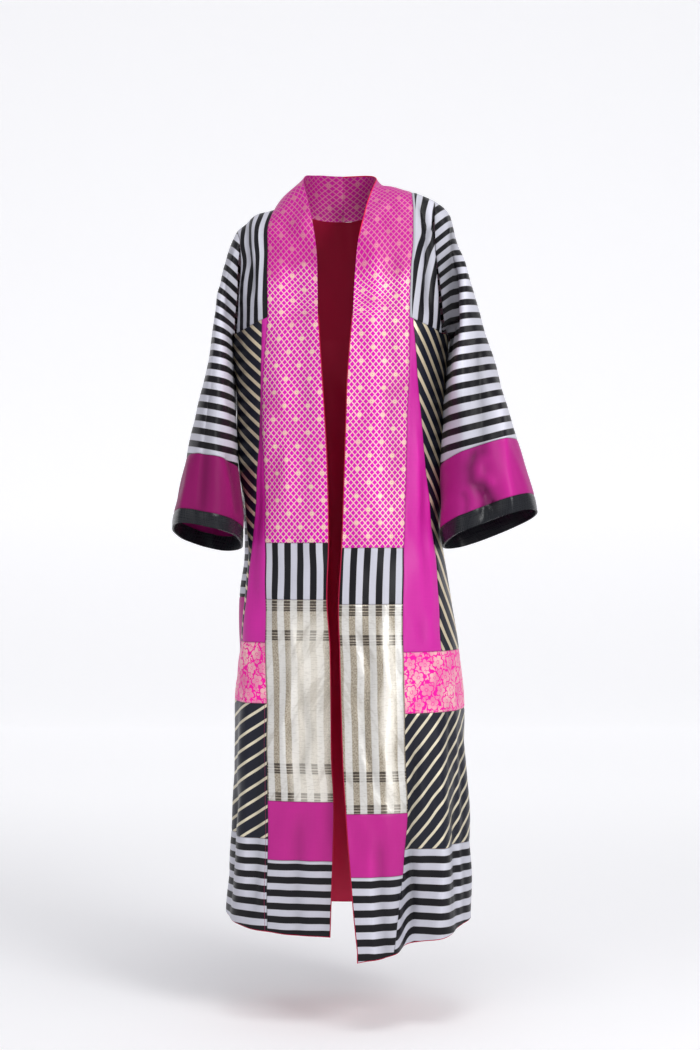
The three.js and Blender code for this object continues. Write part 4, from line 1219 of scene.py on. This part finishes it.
class Silk(Tree):
    """The material of one cloth, on the cloth's own coordinates"""

    def __init__(self, name):
        self.name, self.material = name, bpy.data.materials.new(name)
        self.material.use_nodes = True
        super().__init__(self.material.node_tree)
        self.cloth = self.node("ShaderNodeUVMap", out="UV", uv_map="Cloth")

    def colour(self, factor, first, second, blend="MIX"):
        """Mixes two colours, each a node's result or a name of the scene's colours"""
        dyes = bpy.context.scene.abaya_colours
        first, second = ((*getattr(dyes, one), 1.0) if isinstance(one, str) else one
                         for one in (first, second))
        return super().colour(factor, first, second, blend)

    def measure(self, name):
        return self.node("ShaderNodeAttribute", out="Fac", attribute_name=name)

    def finish(self, colour, roughness, sheen=0.05, metallic=0.0, slub=0.5, relief=None,
               relief_height=0.0003, weave_strength=0.35, specular=0.3, stitches=0.0,
               fold_light=(0.56, 1.27)):
        """Stitches, weave, the shade of seams and folds, and sheen over a colour"""
        if stitches:
            thread = self.group(stitches_group(), from_seam=self.measure("across"),
                                along=self.parts(self.cloth)[1], place=stitches).thread
            colour = self.colour(thread, colour, "stitch")
        weave = self.group(weave_group(), coordinate=self.cloth, thread=THREAD, slub=slub)
        seam = self.group(seam_group(), distance=self.measure("seam_distance"),
                          coordinate=self.cloth)
        fold = self.node("ShaderNodeMapRange", self.measure("fold"), -SHADED_FOLD, SHADED_FOLD,
                         *fold_light)
        colour = self.lit(self.lit(colour, weave.tone.scaled(*WEAVE_TONE)), fold)
        normal = self.bump(weave_strength, WEAVE_RELIEF, weave.height)
        normal = self.bump(PUCKER_STRENGTH, PUCKER_RELIEF, seam.height, normal)
        if relief is not None:
            normal = self.bump(RELIEF_STRENGTH, relief_height, relief, normal)
        self.shade({
            "Base Color": self.colour(seam.shade * SEAM_SHADE, colour, BLACK), "Normal": normal,
            "Roughness": weave.tone.scaled(roughness - ROUGHNESS_CHANGE,
                                           roughness + ROUGHNESS_CHANGE),
            "Metallic": metallic, "Sheen Weight": sheen, "Sheen Roughness": SHEEN_ROUGHNESS,
            "Specular IOR Level": specular})


def listed(finish):
    """Lets a finish be listed with its values, and made when a piece first needs it"""
    return lambda *values, **more: lambda silk: finish(silk, *values, **more)


@listed
def plain_silk(silk, colour, roughness, **more):
    silk.finish(colour, roughness, **more)


STRIPE_LINE_STRENGTH, STRIP_BLUR, STRIPE_ROUGHNESS = 0.3, 0.0004, 0.4


@listed
def striped_satin(silk, across, start, period, light, strip=0.0, **more):
    """Black and pale satin stripes across the cloth's length (v) or its width (u)"""
    u, v, _ = silk.parts(silk.cloth)
    stripes = silk.group(stripes_group(), across=u if across == "u" else v, start=start,
                         period=period, light_width=light)
    colour = silk.colour(stripes.light, "stripe_dark", "stripe_light")
    colour = silk.colour(stripes.edge_line * STRIPE_LINE_STRENGTH, colour, "stripe_line")
    if strip:
        beside = 1 - silk.measure("across").around(strip, STRIP_BLUR)
        colour = silk.colour(beside, colour, "yoke_strip")
    silk.finish(colour, STRIPE_ROUGHNESS, sheen=0.0, specular=0.2, **more)


# Slanted stripes: the noise of the patches where their metal is painted in shade, the metal, and
# the satin's roughness
SHADED_METAL_SCALE, SHADED_METAL_EDGE, STRIPE_METAL, SLANTED_ROUGHNESS = 16.0, (0.54, 0.76), 0.45, 0.38


@listed
def slanted_satin(silk, angle, period, light, bright="gold", worn="gold_painted_shade", **more):
    """Dark satin with slanting metallic stripes; the angle is from level, in degrees"""
    turned = silk.node("ShaderNodeMapping", silk.cloth,
                       named={"Rotation": (0.0, 0.0, math.radians(angle))})
    stripes = silk.group(stripes_group(), across=silk.parts(turned)[1], start=0.0,
                         period=period, light_width=light)
    # Painted shade: in noisy patches the metal stripes turn to a darker copy of their colour
    metal = silk.colour(silk.noise(silk.cloth, SHADED_METAL_SCALE).ramp(*SHADED_METAL_EDGE), bright, worn)
    colour = silk.colour(stripes.light, "navy", metal)
    silk.finish(colour, SLANTED_ROUGHNESS, sheen=0.0, metallic=stripes.light * STRIPE_METAL,
                relief=stripes.light, relief_height=0.0002, **more)


# In metres: the lattice is duller above this height, with a cloudy edge, and in some patches
LATTICE_DULL_ABOVE, DULL_EDGE, CLOUD_SCALE, CLOUD_SIZE = -0.165, (-0.02, 0.03), 22.0, 0.09
PATCH_SCALE, PATCH_EDGE, PATCH_STRENGTH = 13.0, (0.5, 0.75), 0.5
# Red piping on the left neck edge: its width and blur, and how far down it goes
PIPING_WIDTH, PIPING_BLUR, PIPING_FOOT, FOOT_BLUR = 0.0021, 0.0003, -0.09, 0.01


def lattice_brocade(silk):
    figure = silk.group(lattice_group(), coordinate=silk.cloth).figure
    height = silk.parts(silk.node("ShaderNodeTexCoord", out="Object"))[2]
    cloud = (silk.noise(silk.cloth, CLOUD_SCALE) - 0.5) * CLOUD_SIZE
    dull = (height + cloud).ramp(*(LATTICE_DULL_ABOVE + edge for edge in DULL_EDGE))
    patches = silk.noise(silk.cloth, PATCH_SCALE).ramp(*PATCH_EDGE)
    dull = dull.larger(patches * PATCH_STRENGTH)
    thread = silk.colour(dull, "lattice_line", "lattice_line_dull")
    ground = silk.colour(dull, "lattice_ground", "lattice_ground_dull")
    colour = silk.colour(figure, ground, thread)
    if silk.name == "left_lattice":
        at_edge = 1 - silk.measure("across").around(PIPING_WIDTH, PIPING_BLUR)
        colour = silk.colour(at_edge * height.around(PIPING_FOOT, FOOT_BLUR), colour, "piping")
    silk.finish(colour, 0.42, metallic=figure * 0.3, relief=figure, specular=0.2)


# In metres: the flowers' spacing and radii, how far the small ones are moved, and the sway
FLOWER_SPACING, LARGE_RADIUS, SMALL_RADIUS = 0.0315, 0.0128, 0.0068
SMALL_PLACE, SWAY, SWAY_SCALE = (0.0155, 0.0105, 0.0), (0.006, 0.006, 0.0), 70.0
# Voronoi feature, scale and soft edge
LEAVES, VINES = ("F1", 150.0, (0.3, 0.38)), ("DISTANCE_TO_EDGE", 75.0, (0.06, 0.1))


def floral_brocade(silk):
    """Large and small flowers, with leaves and vines between them"""
    sway = silk.node("ShaderNodeTexNoise", out="Color",
                     named={"Vector": silk.cloth, "Scale": SWAY_SCALE})
    sway = silk.node("ShaderNodeVectorMath", sway, SWAY, operation="MULTIPLY")
    bent = silk.node("ShaderNodeVectorMath", silk.cloth, sway, operation="ADD")
    moved = silk.node("ShaderNodeMapping", bent, named={"Location": SMALL_PLACE})
    large = silk.group(flowers_group(), coordinate=bent, spacing=FLOWER_SPACING,
                       radius=LARGE_RADIUS)
    small = silk.group(flowers_group(), coordinate=moved, spacing=FLOWER_SPACING,
                       radius=SMALL_RADIUS, petals=6.0, seed=3.0)
    leaf, vine = (silk.node("ShaderNodeTexVoronoi", out="Distance", feature=feature,
                            named={"Vector": bent, "Scale": scale}).below(*edge)
                  for feature, scale, edge in (LEAVES, VINES))
    filler = vine.larger(leaf) * (1 - large.ground_mask.larger(small.ground_mask))
    small_flowers = small.petals_mask * (1 - large.ground_mask)
    mask = filler.larger(small_flowers).larger(large.petals_mask)
    thread = silk.colour(silk.noise(silk.cloth, 20.0).ramp(0.35, 0.65), "flower_pale",
                         "flower_warm")
    colour = silk.colour(mask * 0.94, "floral_ground", thread)
    silk.finish(colour, 0.45, metallic=mask * 0.15, relief=mask, specular=0.2)


# Tops of the groups of dark weft bars below the tissue's upper seam, in metres
BAR_TOPS = {"right_tissue": (0.002, 0.056, 0.302, 0.356),
            "left_tissue": (0.002, 0.056, 0.305, 0.365)}
# Where a highlight is painted on the tissue: its middle across from the outer seam, and its half
# width, in metres
SHINE = {"right_tissue": (0.086, 0.042), "left_tissue": (0.029, 0.016)}
# Noises of the tissue: how often they come in a metre, across and along, and their detail
MOTTLE, CLOUD, FLECKS = (420.0, 300.0, 3.0), (22.0, 7.0, 3.0), (90.0, 420.0, 2.0)
FOIL, FOIL_STREAKS, FOIL_HEIGHT = (60.0, 34.0, 5.0), 0.8, 0.0022


def metallic_tissue(silk):
    """Pale and taupe stripes with dark weft bars, creased foil, and a painted highlight"""
    u, v, _ = silk.parts(silk.cloth)
    stripes = silk.group(stripes_group(), across=u, start=0.0025, period=0.0248,
                         light_width=0.013, blur=0.0009)
    mottle = silk.stretched_noise(u, v, *MOTTLE)
    taupe = silk.colour(mottle.ramp(0.35, 0.7), "tissue_taupe", "tissue_taupe_dark")
    colour = silk.colour(stripes.light, taupe, "tissue_light")
    # Painted highlight: a pale cream band where the tissue would catch the light, which also fades
    # the weft bars under it
    middle, reach = SHINE[silk.name]
    cloud = silk.stretched_noise(u, v, *CLOUD)
    far = abs(u + (cloud - 0.5) * 0.05 - middle)
    shine = far.below(reach * 0.35, reach * 1.15) * v.ramp(0.006, 0.07)
    colour = silk.colour(shine * 0.72, colour, "tissue_cream")
    bars = sum(silk.group(bars_group(), down=v, top=top).bars for top in BAR_TOPS[silk.name])
    on_taupe = bars * (1 - stripes.light * 0.88)
    colour = silk.colour(on_taupe * (0.95 - shine * 0.45), colour, "tissue_bar")
    # Creased foil: slanting streaks, and fine flecks across the cloth
    streaks = silk.noise(silk.vector(u * 46.0 + v * 26.0, v * 9.0), 1.0, 4.0)
    flecks = silk.stretched_noise(u, v, *FLECKS)
    for mask, low, high, strength in ((streaks, 0.52, 0.66, 0.3), (flecks, 0.5, 0.7, 0.22)):
        colour = silk.colour(mask.ramp(low, high) * strength, colour, "tissue_taupe_dark")
    foil = silk.stretched_noise(u, v, *FOIL) + streaks * FOIL_STREAKS
    silk.finish(colour, 0.34, metallic=0.35, relief=foil, relief_height=FOIL_HEIGHT, slub=0.9,
                weave_strength=0.5)


# How far beside the band's seam the hand stitches run, in metres
STITCH_PLACE = 0.0045
# Cream stripes, with a darker cream painted where they are in shade
CREAM = dict(bright="cream", worn="cream_painted_shade")

# Striped satin: the stripes' way, the first one's start, their period and the pale one's width
FINISHES = {
    "right_lattice": lattice_brocade,
    "left_lattice": lattice_brocade,
    "floral_brocade": floral_brocade,
    "right_tissue": metallic_tissue,
    "left_tissue": metallic_tissue,
    "magenta_silk": plain_silk("magenta", 0.42, slub=0.9),
    "gore_silk": plain_silk("magenta_bright", 0.42, slub=0.9),
    # The two sleeve bands are one silk: the right one's darker magenta is painted shade on that
    # side
    "right_sleeve_band": plain_silk("magenta_deep", 0.5, slub=0.9, specular=0.15),
    "left_sleeve_band": plain_silk("magenta_soft", 0.46, slub=0.9, specular=0.2,
                                   fold_light=(0.34, 1.36)),
    "black_satin": plain_silk("cuff", 0.28),
    "crimson_lining": plain_silk("lining", 0.5),
    "band_stripe": striped_satin("u", 0.0027, 0.0248, 0.0124),
    "right_yoke": striped_satin("u", 0.0105, 0.0215, 0.0108),
    "left_yoke": striped_satin("u", 0.0045, 0.0240, 0.0120, strip=0.0042),
    "right_band_hem": striped_satin("v", 0.0180, 0.0243, 0.0118),
    "left_band_hem": striped_satin("v", -0.0070, 0.0261, 0.0128),
    "right_side_hem": striped_satin("v", -0.0010, 0.0248, 0.0124, stitches=STITCH_PLACE),
    "left_side_hem": striped_satin("v", 0.0, 0.0262, 0.0128),
    "side_hem": striped_satin("v", 0.0, 0.0255, 0.0128),
    "right_sleeve": striped_satin("v", 0.0, 0.024, 0.0122),
    "left_sleeve": striped_satin("v", 0.0, 0.024, 0.0128, fold_light=(0.42, 1.4)),
    "back_yoke": striped_satin("u", 0.0, 0.0245, 0.0124),
    "back_stripe": striped_satin("v", 0.0, 0.0252, 0.0126),
    "right_side_diagonal": slanted_satin(-39, 0.0192, 0.0064),
    "left_side_diagonal": slanted_satin(-60, 0.0195, 0.0066),
    "right_lower_diagonal": slanted_satin(30.5, 0.0227, 0.005, stitches=STITCH_PLACE, **CREAM),
    "left_lower_diagonal": slanted_satin(49, 0.0205, 0.005, **CREAM),
    "back_diagonal": slanted_satin(35, 0.022, 0.005, **CREAM),
}


@cache
def finished(name):
    """The material of a finish, made once"""
    silk = Silk(name)
    FINISHES[name](silk)
    return silk.material


def finish_of(panel, side):
    name = panel.get("finish", panel["slot"]).format(side=side["name"] if side else "")
    return f"{side['name']}_tissue" if name == "metallic_tissue" else name


# ---------------------------------------------------------------- the stage

CAMERA_PLACE, CAMERA_LENS, CAMERA_SENSOR = (0.013, -4.0, -0.626), 72.0, 36.0
SKY_COLOUR, SKY_STRENGTH = (0.95, 0.95, 1.0, 1.0), 0.5
# The backdrop, in metres: a floor that runs forward and back, then a wall
FLOOR_HEIGHT, FLOOR_DEPTH, HALF_WIDTH, BACKDROP_DEPTH, BACKDROP_TOP = -1.55, 4.5, 10, 6.5, 6.0
# Name, place, size, power, aimed at
LAMPS = (
    ("Key_light", (2.3, -3.2, 1.0), 1.6, 78.0, (0.0, 0.0, -0.6)),
    ("Fill_light", (-2.4, -3.0, 0.2), 2.4, 12.0, (0.0, 0.0, -0.8)),
    ("Top_light", (0.3, -1.2, 2.6), 1.6, 34.0, (0.0, 0.0, -0.4)),
)


def srgb(*levels):
    """A colour picker's 0 to 255 levels as the linear colour that Blender keeps"""
    shares = [level / 255 for level in levels]
    return tuple(s / 12.92 if s <= 0.04045 else ((s + 0.055) / 1.055) ** 2.4 for s in shares)


def aim(thing, place, target):
    thing.location = place
    thing.rotation_euler = (Vector(target) - Vector(place)).to_track_quat("-Z", "Y").to_euler()


def add_camera():
    bpy.ops.object.camera_add(location=CAMERA_PLACE, rotation=(math.radians(90), 0, 0))
    camera = bpy.context.object
    camera.name = "Photo_camera"
    camera.data.lens = CAMERA_LENS
    camera.data.sensor_width = CAMERA_SENSOR
    bpy.context.scene.camera = camera


def add_lamps():
    for name, place, size, power, target in LAMPS:
        bpy.ops.object.light_add(type="AREA", location=place)
        lamp = bpy.context.object
        lamp.name = name
        lamp.data.shape = "DISK"
        lamp.data.size, lamp.data.energy = size, power
        aim(lamp, place, target)
    world = bpy.data.worlds.new("Studio")
    world.use_nodes = True
    sky = world.node_tree.nodes["Background"].inputs
    sky["Color"].default_value, sky["Strength"].default_value = SKY_COLOUR, SKY_STRENGTH
    bpy.context.scene.world = world
    bpy.context.scene.view_settings.view_transform = "Standard"


# How much the paper glows near the garment, and at the wall, so that it looks evenly lit
PAPER_GLOW, GLOW_DEPTHS, PAPER_TONE = (0.09, 0.275), (0.3, 3.6), (0.985, 1.0)


def add_backdrop(colour):
    """A pale floor that curves up into a wall"""
    bpy.ops.object.select_all(action="DESELECT")
    bpy.ops.mesh.primitive_plane_add(size=2)
    floor = bpy.context.object
    floor.name = "Studio_backdrop"
    bpy.ops.object.mode_set(mode="EDIT")
    mesh = bmesh.from_edit_mesh(floor.data)
    for vertex in mesh.verts:
        vertex.co.x *= HALF_WIDTH
        vertex.co.y = BACKDROP_DEPTH if vertex.co.y > 0 else -FLOOR_DEPTH
        vertex.co.z = FLOOR_HEIGHT
        vertex.select = vertex.co.y > 0
    mesh.select_flush_mode()
    for edge in mesh.edges:
        edge.select = all(vertex.co.y > 0 for vertex in edge.verts)
    bmesh.update_edit_mesh(floor.data)
    bpy.ops.mesh.extrude_region_move(TRANSFORM_OT_translate={
        "value": (0, 0, BACKDROP_TOP - FLOOR_HEIGHT)})
    bpy.ops.object.mode_set(mode="OBJECT")
    bend = floor.modifiers.new("Bend", "BEVEL")
    bend.width, bend.segments, bend.limit_method = 1.0, 16, "ANGLE"
    bpy.ops.object.modifier_apply(modifier=bend.name)
    bpy.ops.object.shade_smooth()
    material = bpy.data.materials.new("Backdrop_paper")
    material.use_nodes = True
    tree = Tree(material.node_tree)
    place = tree.node("ShaderNodeTexCoord", out="Object")
    deep = tree.parts(place)[1]
    tree.shade({
        "Base Color": tree.lit(colour, tree.noise(place, 0.6).scaled(*PAPER_TONE)),
        "Roughness": 0.9, "Emission Color": WHITE,
        "Emission Strength": deep.ramp(*GLOW_DEPTHS).scaled(*PAPER_GLOW)})
    floor.data.materials.append(material)


# ---------------------------------------------------------------- settings, operators and panel

def colour_setting(name, text, *levels):
    return FloatVectorProperty(name=name, description=text, subtype="COLOR", size=3, min=0, max=1,
                               default=srgb(*levels))


class AbayaSizes(bpy.types.PropertyGroup):
    """Sizes that a user would change"""
    cloth_thickness: FloatProperty(
        name="Cloth thickness", description="Thickness of a cloth panel", default=0.0012,
        min=0.0005, max=0.003, unit="LENGTH", precision=4)
    seam_press: FloatProperty(
        name="Seam depth", description="How far a panel's edges sink into the seams",
        default=0.0008, min=0, max=0.002, unit="LENGTH", precision=4)
    crease_strength: FloatProperty(
        name="Crease strength", description="Share of the creases' full height", default=1.0,
        min=0, max=1.5, subtype="FACTOR")
    front_step: FloatProperty(
        name="Mesh step", description="Spacing of the mesh on fronts, band and sleeves, in mm",
        default=5.0, min=3, max=12)
    back_step: FloatProperty(
        name="Back mesh step", description="Spacing of the mesh on the back, in mm", default=7.0,
        min=4, max=16)


class AbayaColours(bpy.types.PropertyGroup):
    """Colours of the cloths"""
    lattice_ground: colour_setting("Lattice ground", "Brocade ground of the band", 222, 0, 180)
    lattice_ground_dull: colour_setting("Dull lattice ground", "Ground where it looks duller",
                                        200, 6, 150)
    lattice_line: colour_setting("Lattice thread", "Metallic thread of the lattice", 248, 212, 192)
    lattice_line_dull: colour_setting("Dull lattice thread", "Where the thread looks duller",
                                      214, 128, 156)
    magenta: colour_setting("Magenta silk", "Band block and back", 192, 30, 140)
    magenta_bright: colour_setting("Bright magenta silk", "Gores", 210, 38, 162)
    # A darker copy of the sleeve bands' magenta, painted as shade on the right sleeve
    magenta_deep: colour_setting("Deep magenta silk", "Right sleeve band", 136, 14, 92)
    magenta_soft: colour_setting("Soft magenta silk", "Left sleeve band", 182, 30, 134)
    floral_ground: colour_setting("Floral ground", "Ground of the floral brocade", 255, 16, 168)
    flower_pale: colour_setting("Pale flowers", "Pale thread of the flowers", 242, 138, 178)
    flower_warm: colour_setting("Warm flowers", "Warm thread of the flowers", 252, 204, 200)
    stripe_dark: colour_setting("Dark stripe", "Black satin stripe", 20, 19, 24)
    stripe_light: colour_setting("Light stripe", "Pale satin stripe", 202, 202, 213)
    stripe_line: colour_setting("Stripe edge", "Thin thread at the edges of stripes", 150, 136, 120)
    piping: colour_setting("Neck piping", "Red piping of the left neck edge", 232, 16, 74)
    stitch: colour_setting("Stitches", "Dark pink thread of the hand stitches", 150, 34, 84)
    # A darker copy of the gold, painted where the slanted stripes are in shade
    gold_painted_shade: colour_setting("Bronze stripe", "Slanted stripe where it is shaded", 128, 98, 92)
    # A darker copy of the cream, painted where the lower slanted stripes are in shade
    cream_painted_shade: colour_setting("Dull cream stripe", "Lower slanted stripe where shaded",
                               200, 190, 168)
    yoke_strip: colour_setting("Yoke strip", "Narrow strip beside the left band", 180, 182, 190)
    navy: colour_setting("Dark satin", "Ground of the slanted stripes", 17, 20, 36)
    gold: colour_setting("Gold stripe", "Metallic slanted stripe", 226, 211, 180)
    cream: colour_setting("Cream stripe", "Lower slanted stripe", 226, 216, 190)
    tissue_taupe: colour_setting("Taupe tissue", "Dark stripe of the tissue", 192, 182, 164)
    tissue_taupe_dark: colour_setting("Dark taupe tissue", "Flecks in the taupe stripe",
                                      146, 135, 118)
    tissue_light: colour_setting("Pale tissue", "Light stripe of the tissue", 226, 224, 219)
    # Pale cream painted as the tissue's highlight
    tissue_cream: colour_setting("Bright tissue", "Where the tissue shines", 255, 250, 238)
    tissue_bar: colour_setting("Tissue bars", "Dark weft bars of the tissue", 66, 58, 52)
    cuff: colour_setting("Cuff", "Black satin of the cuffs", 24, 26, 31)
    lining: colour_setting("Lining", "Crimson lining", 196, 10, 66)
    backdrop: colour_setting("Backdrop", "Floor and wall", 250, 250, 251)


def add_panels(panels, sides):
    """Makes each panel of a table, for the sides given"""
    for one in panels:
        for side in sides:
            make_panel(one, side, finished(finish_of(one, side)))


class AddBand(bpy.types.Operator):
    """Add the front band of five cloths, from the hem round the neck"""
    bl_idname = "abaya.add_band"
    bl_label = "Front Band"

    def execute(self, context):
        add_panels(BAND_PANELS, (RIGHT, LEFT))
        return {"FINISHED"}


class AddFronts(bpy.types.Operator):
    """Add the front yokes, gores and side panels"""
    bl_idname = "abaya.add_fronts"
    bl_label = "Fronts"

    def execute(self, context):
        add_panels(FRONT_PANELS, (RIGHT, LEFT))
        return {"FINISHED"}


class AddSleeves(bpy.types.Operator):
    """Add the sleeves with their bands and cuffs"""
    bl_idname = "abaya.add_sleeves"
    bl_label = "Sleeves"

    def execute(self, context):
        add_panels(SLEEVE_PANELS, (RIGHT, LEFT))
        return {"FINISHED"}


class AddBack(bpy.types.Operator):
    """Add the back yoke and the blocks of the back"""
    bl_idname = "abaya.add_back"
    bl_label = "Back"

    def execute(self, context):
        add_panels(BACK_PANELS, (None,))
        return {"FINISHED"}


class AddLining(bpy.types.Operator):
    """Add the crimson lining of both fronts and the back"""
    bl_idname = "abaya.add_lining"
    bl_label = "Lining"

    def execute(self, context):
        add_panels(LINING_PANELS, (RIGHT, LEFT))
        add_panels(BACK_LINING_PANELS, (None,))
        return {"FINISHED"}


class AddStage(bpy.types.Operator):
    """Add the camera, the lights and the pale backdrop"""
    bl_idname = "abaya.add_stage"
    bl_label = "Studio"

    def execute(self, context):
        add_backdrop((*context.scene.abaya_colours.backdrop, 1.0))
        add_lamps()
        add_camera()
        return {"FINISHED"}


class AbayaPanel(bpy.types.Panel):
    """The abaya's sizes, colours and parts in the sidebar"""
    bl_idname = "VIEW3D_PT_abaya"
    bl_label = "Patchwork Abaya"
    bl_space_type = "VIEW_3D"
    bl_region_type = "UI"
    bl_category = "Abaya"

    def draw(self, context):
        for settings in (context.scene.abaya_sizes, context.scene.abaya_colours):
            box = self.layout.box()
            for name in settings.__annotations__:
                box.prop(settings, name)
        for operator in OPERATORS:
            self.layout.operator(operator.bl_idname)


OPERATORS = (AddBand, AddFronts, AddSleeves, AddBack, AddLining, AddStage)
CLASSES = (AbayaSizes, AbayaColours, *OPERATORS, AbayaPanel)


def register():
    for one in CLASSES:
        bpy.utils.register_class(one)
    bpy.types.Scene.abaya_sizes = PointerProperty(type=AbayaSizes)
    bpy.types.Scene.abaya_colours = PointerProperty(type=AbayaColours)


def unregister():
    del bpy.types.Scene.abaya_colours
    del bpy.types.Scene.abaya_sizes
    for one in reversed(CLASSES):
        bpy.utils.unregister_class(one)


def main():
    register()
    bpy.ops.abaya.add_band()
    bpy.ops.abaya.add_fronts()
    bpy.ops.abaya.add_sleeves()
    bpy.ops.abaya.add_back()
    bpy.ops.abaya.add_lining()
    bpy.ops.abaya.add_stage()


if __name__ == "__main__":
    main()
